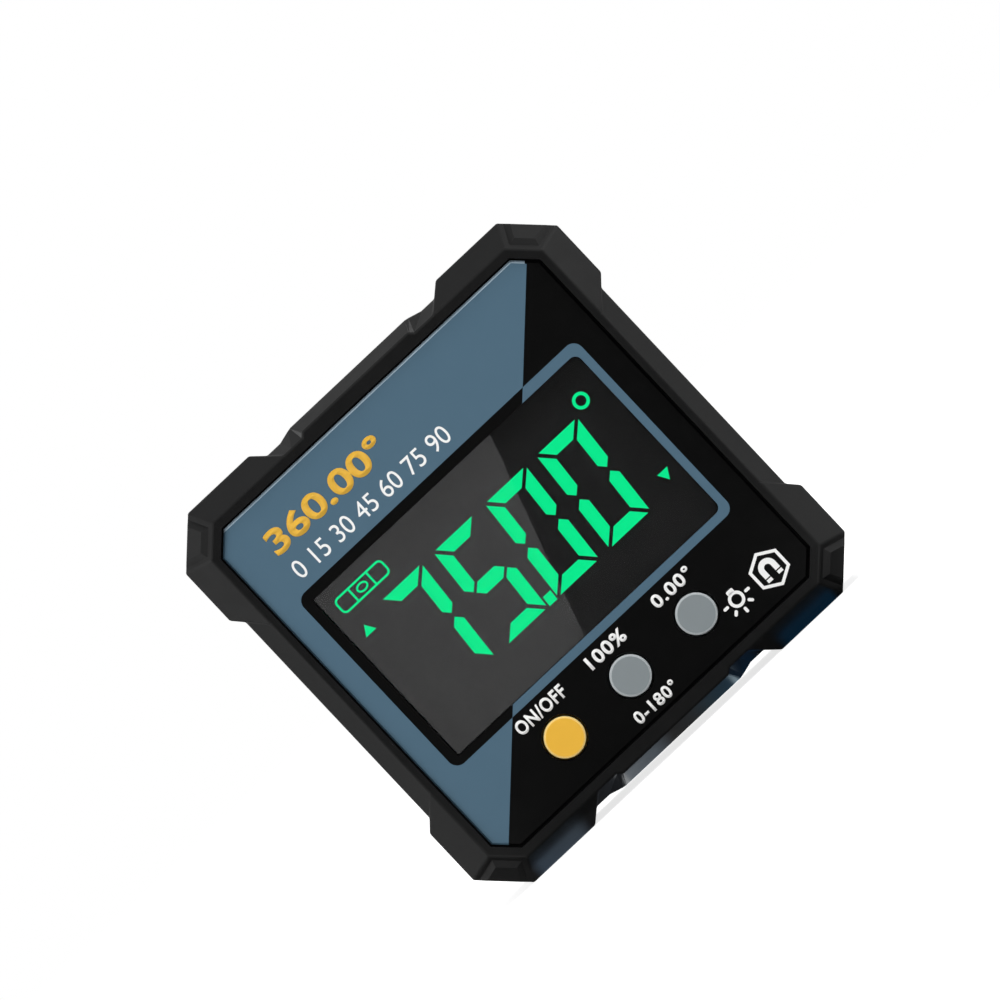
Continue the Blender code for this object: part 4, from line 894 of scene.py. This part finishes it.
# white to the eye and in glass and metal, and a plain light level for everything else
def makeWorld():
    world = bpy.context.scene.world or bpy.data.worlds.new("world")
    bpy.context.scene.world = world
    world.use_nodes = True
    nodes, links = world.node_tree.nodes, world.node_tree.links
    nodes.clear()
    path = nodes.new("ShaderNodeLightPath")
    seen = path.outputs["Is Camera Ray"]
    for name in ("Is Glossy Ray", "Is Transmission Ray"):
        either = nodes.new("ShaderNodeMath")
        either.operation = "MAXIMUM"
        links.new(seen, either.inputs[0])
        links.new(path.outputs[name], either.inputs[1])
        seen = either.outputs[0]
    strength = nodes.new("ShaderNodeMapRange")
    strength.inputs["To Min"].default_value = studio["worldLight"]
    strength.inputs["To Max"].default_value = 1.0
    links.new(seen, strength.inputs["Value"])
    background = nodes.new("ShaderNodeBackground")
    background.inputs["Color"].default_value = (1, 1, 1, 1)
    links.new(strength.outputs["Result"], background.inputs["Strength"])
    out = nodes.new("ShaderNodeOutputWorld")
    links.new(background.outputs[0], out.inputs[0])


def makeFloor():
    deselect()
    bpy.ops.mesh.primitive_plane_add(size=2 * studio["floorHalf"], location=(0, 0, cadLow.z))
    floor = nameBoth(bpy.context.active_object, "floor")
    applyPlace(floor)
    finish = Finish("paleFloor")
    finish.shader["Base Color"].default_value = (*[studio["floorTone"]] * 3, 1)
    finish.shader["Roughness"].default_value = 0.9
    finish.shader["Specular IOR Level"].default_value = 0.0
    finish.shader["Emission Color"].default_value = (1, 1, 1, 1)
    path = finish.add("ShaderNodeLightPath")
    seen = finish.math("MAXIMUM", path.outputs["Is Camera Ray"], path.outputs["Is Glossy Ray"])
    seen = finish.math("MAXIMUM", seen, path.outputs["Is Transmission Ray"])
    finish.link(finish.math("MULTIPLY", seen, studio["floorGlow"]), finish.shader["Emission Strength"])
    floor.data.materials.append(finish.material)


# a studio card that shows in reflections only: a plane between two places that share one coordinate
def addCard(name, low, high):
    low, high = Vector(low), Vector(high)
    size = high - low
    if size.x == 0:
        turned, across, up = (0, radians(90), 0), size.z, size.y
    elif size.y == 0:
        turned, across, up = (radians(90), 0, 0), size.x, size.z
    else:
        turned, across, up = (0, 0, 0), size.x, size.y
    deselect()
    bpy.ops.mesh.primitive_plane_add(size=1, location=(low + high) / 2, rotation=turned)
    card = nameBoth(bpy.context.active_object, name)
    card.scale = (across, up, 1)
    return applyPlace(card)


# trims a card along a plane through one place; away points to the side that goes
def trimCard(card, place, away):
    startEdit(card)
    bpy.ops.mesh.bisect(plane_co=place, plane_no=away, clear_outer=True)
    endEdit()
    return card


def lightCard(card, strength):
    finish = Finish(card.name)
    finish.shader["Base Color"].default_value = (0, 0, 0, 1)
    finish.shader["Specular IOR Level"].default_value = 0
    finish.shader["Emission Color"].default_value = (1, 1, 1, 1)
    finish.shader["Emission Strength"].default_value = strength
    card.data.materials.append(finish.material)
    card.visible_camera = False
    card.visible_diffuse = False
    card.visible_shadow = False
    return finish


# two cards side by side; their common slanted side shows in the display as the line between two tones
def makeSplitCards():
    distance, side = studio["splitDistance"], studio["splitSide"]
    high, low = studio["splitHigh"], studio["splitLow"]
    grow = 1 + distance / cameraDistance

    def inFront(across, up):
        seen = Vector((middle.x + across * mm, 0, middle.z + up * mm))
        place = cameraPlace + (seen - cameraPlace) * grow
        return Vector((place.x, panelFace - distance, place.z))

    lineTop, lineEnd = inFront(studio["splitTop"], high), inFront(studio["splitBottom"], low)
    line = lineTop - lineEnd
    right = Vector((line.z, 0, -line.x))
    bright = addCard("brightCard", inFront(-side, low), inFront(side, high))
    lightCard(trimCard(bright, lineTop, right), studio["splitStrength"])
    rest = addCard("restCard", inFront(-side, low), inFront(side, high))
    lightCard(trimCard(rest, lineTop, -right), studio["restStrength"])


# the flag that keeps the flat front black, with its two upper corners cut off
darkFlag = {"low": (-0.75, -1.6, -0.1), "high": (0.75, -1.6, 0.75), "corner": 0.6}


def makeDarkFlag():
    low, high, corner = darkFlag["low"], darkFlag["high"], darkFlag["corner"]
    flag = addCard("darkFlag", low, high)
    for side, edge in ((-1, low[0]), (1, high[0])):
        trimCard(flag, (edge, high[1], high[2] - corner), (side, 0, 1))
    lightCard(flag, 0)


# place and size in metres, power in watts
lamps = {
    "topLamp": ((0.34, -0.02, 0.85), (0.8, 0.22), 4.5),
    "sideLamp": ((-0.85, -0.75, 0.55), (0.6, 0.6), 5.8),
    "fillLamp": ((0.9, -0.8, 0.4), (0.7, 0.7), 4.2),
}


def makeLamp(name, place, size, power):
    data = bpy.data.lights.new(name, "AREA")
    data.shape = "RECTANGLE"
    data.size, data.size_y = size
    data.energy = power
    lamp = bpy.data.objects.new(name, data)
    bpy.context.scene.collection.objects.link(lamp)
    lamp.location = place
    aim = Vector((0, 0, middle.z)) - Vector(place)
    lamp.rotation_euler = aim.to_track_quat("-Z", "Y").to_euler()
    lamp.visible_camera = False
    lamp.visible_glossy = False


makeCamera()
makeWorld()
makeFloor()
makeSplitCards()
makeDarkFlag()

# upright and level rectangles round the object, by two corners and a strength: each shows in one slope
cards = {
    "greyBack": ((-2.0, -1.7, -0.1), (2.0, -1.7, 2.2), 0.5),
    "highLeft": ((-1.0, -1.55, 0.4), (-0.44, -1.55, 1.0), 1.15),
    "highRight": ((0.44, -1.55, 0.4), (1.0, -1.55, 1.0), 1.15),
    "greySky": ((-1.2, -0.6, 1.3), (1.2, 3.0, 1.3), 0.42),
    "padLeft": ((-1.55, 0.8, 1.25), (-0.85, 1.6, 1.25), 2.2),
    "padRight": ((0.85, 0.8, 1.25), (1.55, 1.6, 1.25), 2.2),
    "greyLeft": ((-1.5, 0.4, -0.1), (-1.5, 3.0, 1.2), 0.32),
    "greyRight": ((1.5, 0.4, -0.1), (1.5, 3.0, 1.2), 0.32),
    "sideLeft": ((-1.4, -0.8, -0.1), (-1.4, 0.05, 0.9), 1.3),
    "sideRight": ((1.4, -0.8, -0.1), (1.4, 0.05, 0.9), 1.3),
    "sideFloorLeft": ((-1.5, 0.01, 0.00006), (-0.05, 3.0, 0.00006), 0.4),
    "sideFloorRight": ((0.05, 0.01, 0.00006), (1.5, 3.0, 0.00006), 0.4),
    "footLeft": ((-0.05, -0.06, 0.00006), (-0.024, -0.017, 0.00006), 0.7),
    "footRight": ((0.024, -0.06, 0.00006), (0.05, -0.017, 0.00006), 0.7),
}
for name, (low, high, strength) in cards.items():
    lightCard(addCard(name, low, high), strength)


# the sloped base shows a black floor and, at the foot, a bluish bounce that changes from left to right
underGlow = {
    "height": 0.00004, "low": (-0.045, -0.0126), "high": (0.045, -0.006), "dark": (-0.5, 0.5, -1.6),
    "colours": {  # by their place across, in mm
        -24.2: (0.2, 0.2, 0.2), -23.0: (0.85, 1.2, 1.65), -17.0: (0.95, 1.25, 1.6),
        -15.4: (0.12, 0.12, 0.13), -9.4: (0.12, 0.14, 0.17), -9.1: (3.0, 3.1, 3.2),
        -8.7: (3.0, 3.1, 3.2), -8.4: (1.2, 1.35, 1.5), -4.0: (0.75, 0.9, 1.05),
        -1.2: (0.2, 0.2, 0.2), 2.0: (0.2, 0.22, 0.24), 4.8: (0.18, 0.3, 0.4),
        8.2: (0.13, 0.3, 0.48), 8.5: (1.8, 2.4, 2.8), 8.9: (1.8, 2.4, 2.8),
        9.2: (0.02, 0.1, 0.24), 12.0: (0.02, 0.08, 0.18), 12.9: (0.02, 0.02, 0.02),
        15.2: (0.02, 0.02, 0.02), 16.4: (0.0, 0.24, 0.58), 23.6: (0.0, 0.24, 0.58),
        24.3: (0.0, 0.0, 0.0), 25.4: (0.0, 0.0, 0.0), 26.2: (0.2, 0.2, 0.2),
    },
}


def makeUnderGlow():
    look = underGlow
    (left, near), (right, far), up = look["low"], look["high"], look["height"]
    darkLeft, darkRight, darkNear = look["dark"]
    lightCard(addCard("darkFloor", (darkLeft, darkNear, up), (darkRight, near, up)), 0)
    finish = lightCard(addCard("underGlow", (left, near, up), (right, far, up)), 1.0)
    split = finish.add("ShaderNodeSeparateXYZ")
    finish.link(finish.place, split.inputs[0])
    ramp = finish.add("ShaderNodeValToRGB")
    finish.link(finish.ranged(split.outputs["X"], 0.0, 1.0, left, right), ramp.inputs["Fac"])
    points = ramp.color_ramp.elements
    while len(points) < len(look["colours"]):
        points.new(0.5)
    for point, (across, colour) in zip(points, look["colours"].items()):
        point.position, point.color = (across * mm - left) / (right - left), (*colour, 1)
    finish.link(ramp.outputs["Color"], finish.shader["Emission Color"])


makeUnderGlow()
for name, setting in lamps.items():
    makeLamp(name, *setting)
bpy.context.scene.view_settings.view_transform = "Standard"
print("studio ready")

print("size of the solids:", [round(v / mm, 2) for v in cadHigh - cadLow])
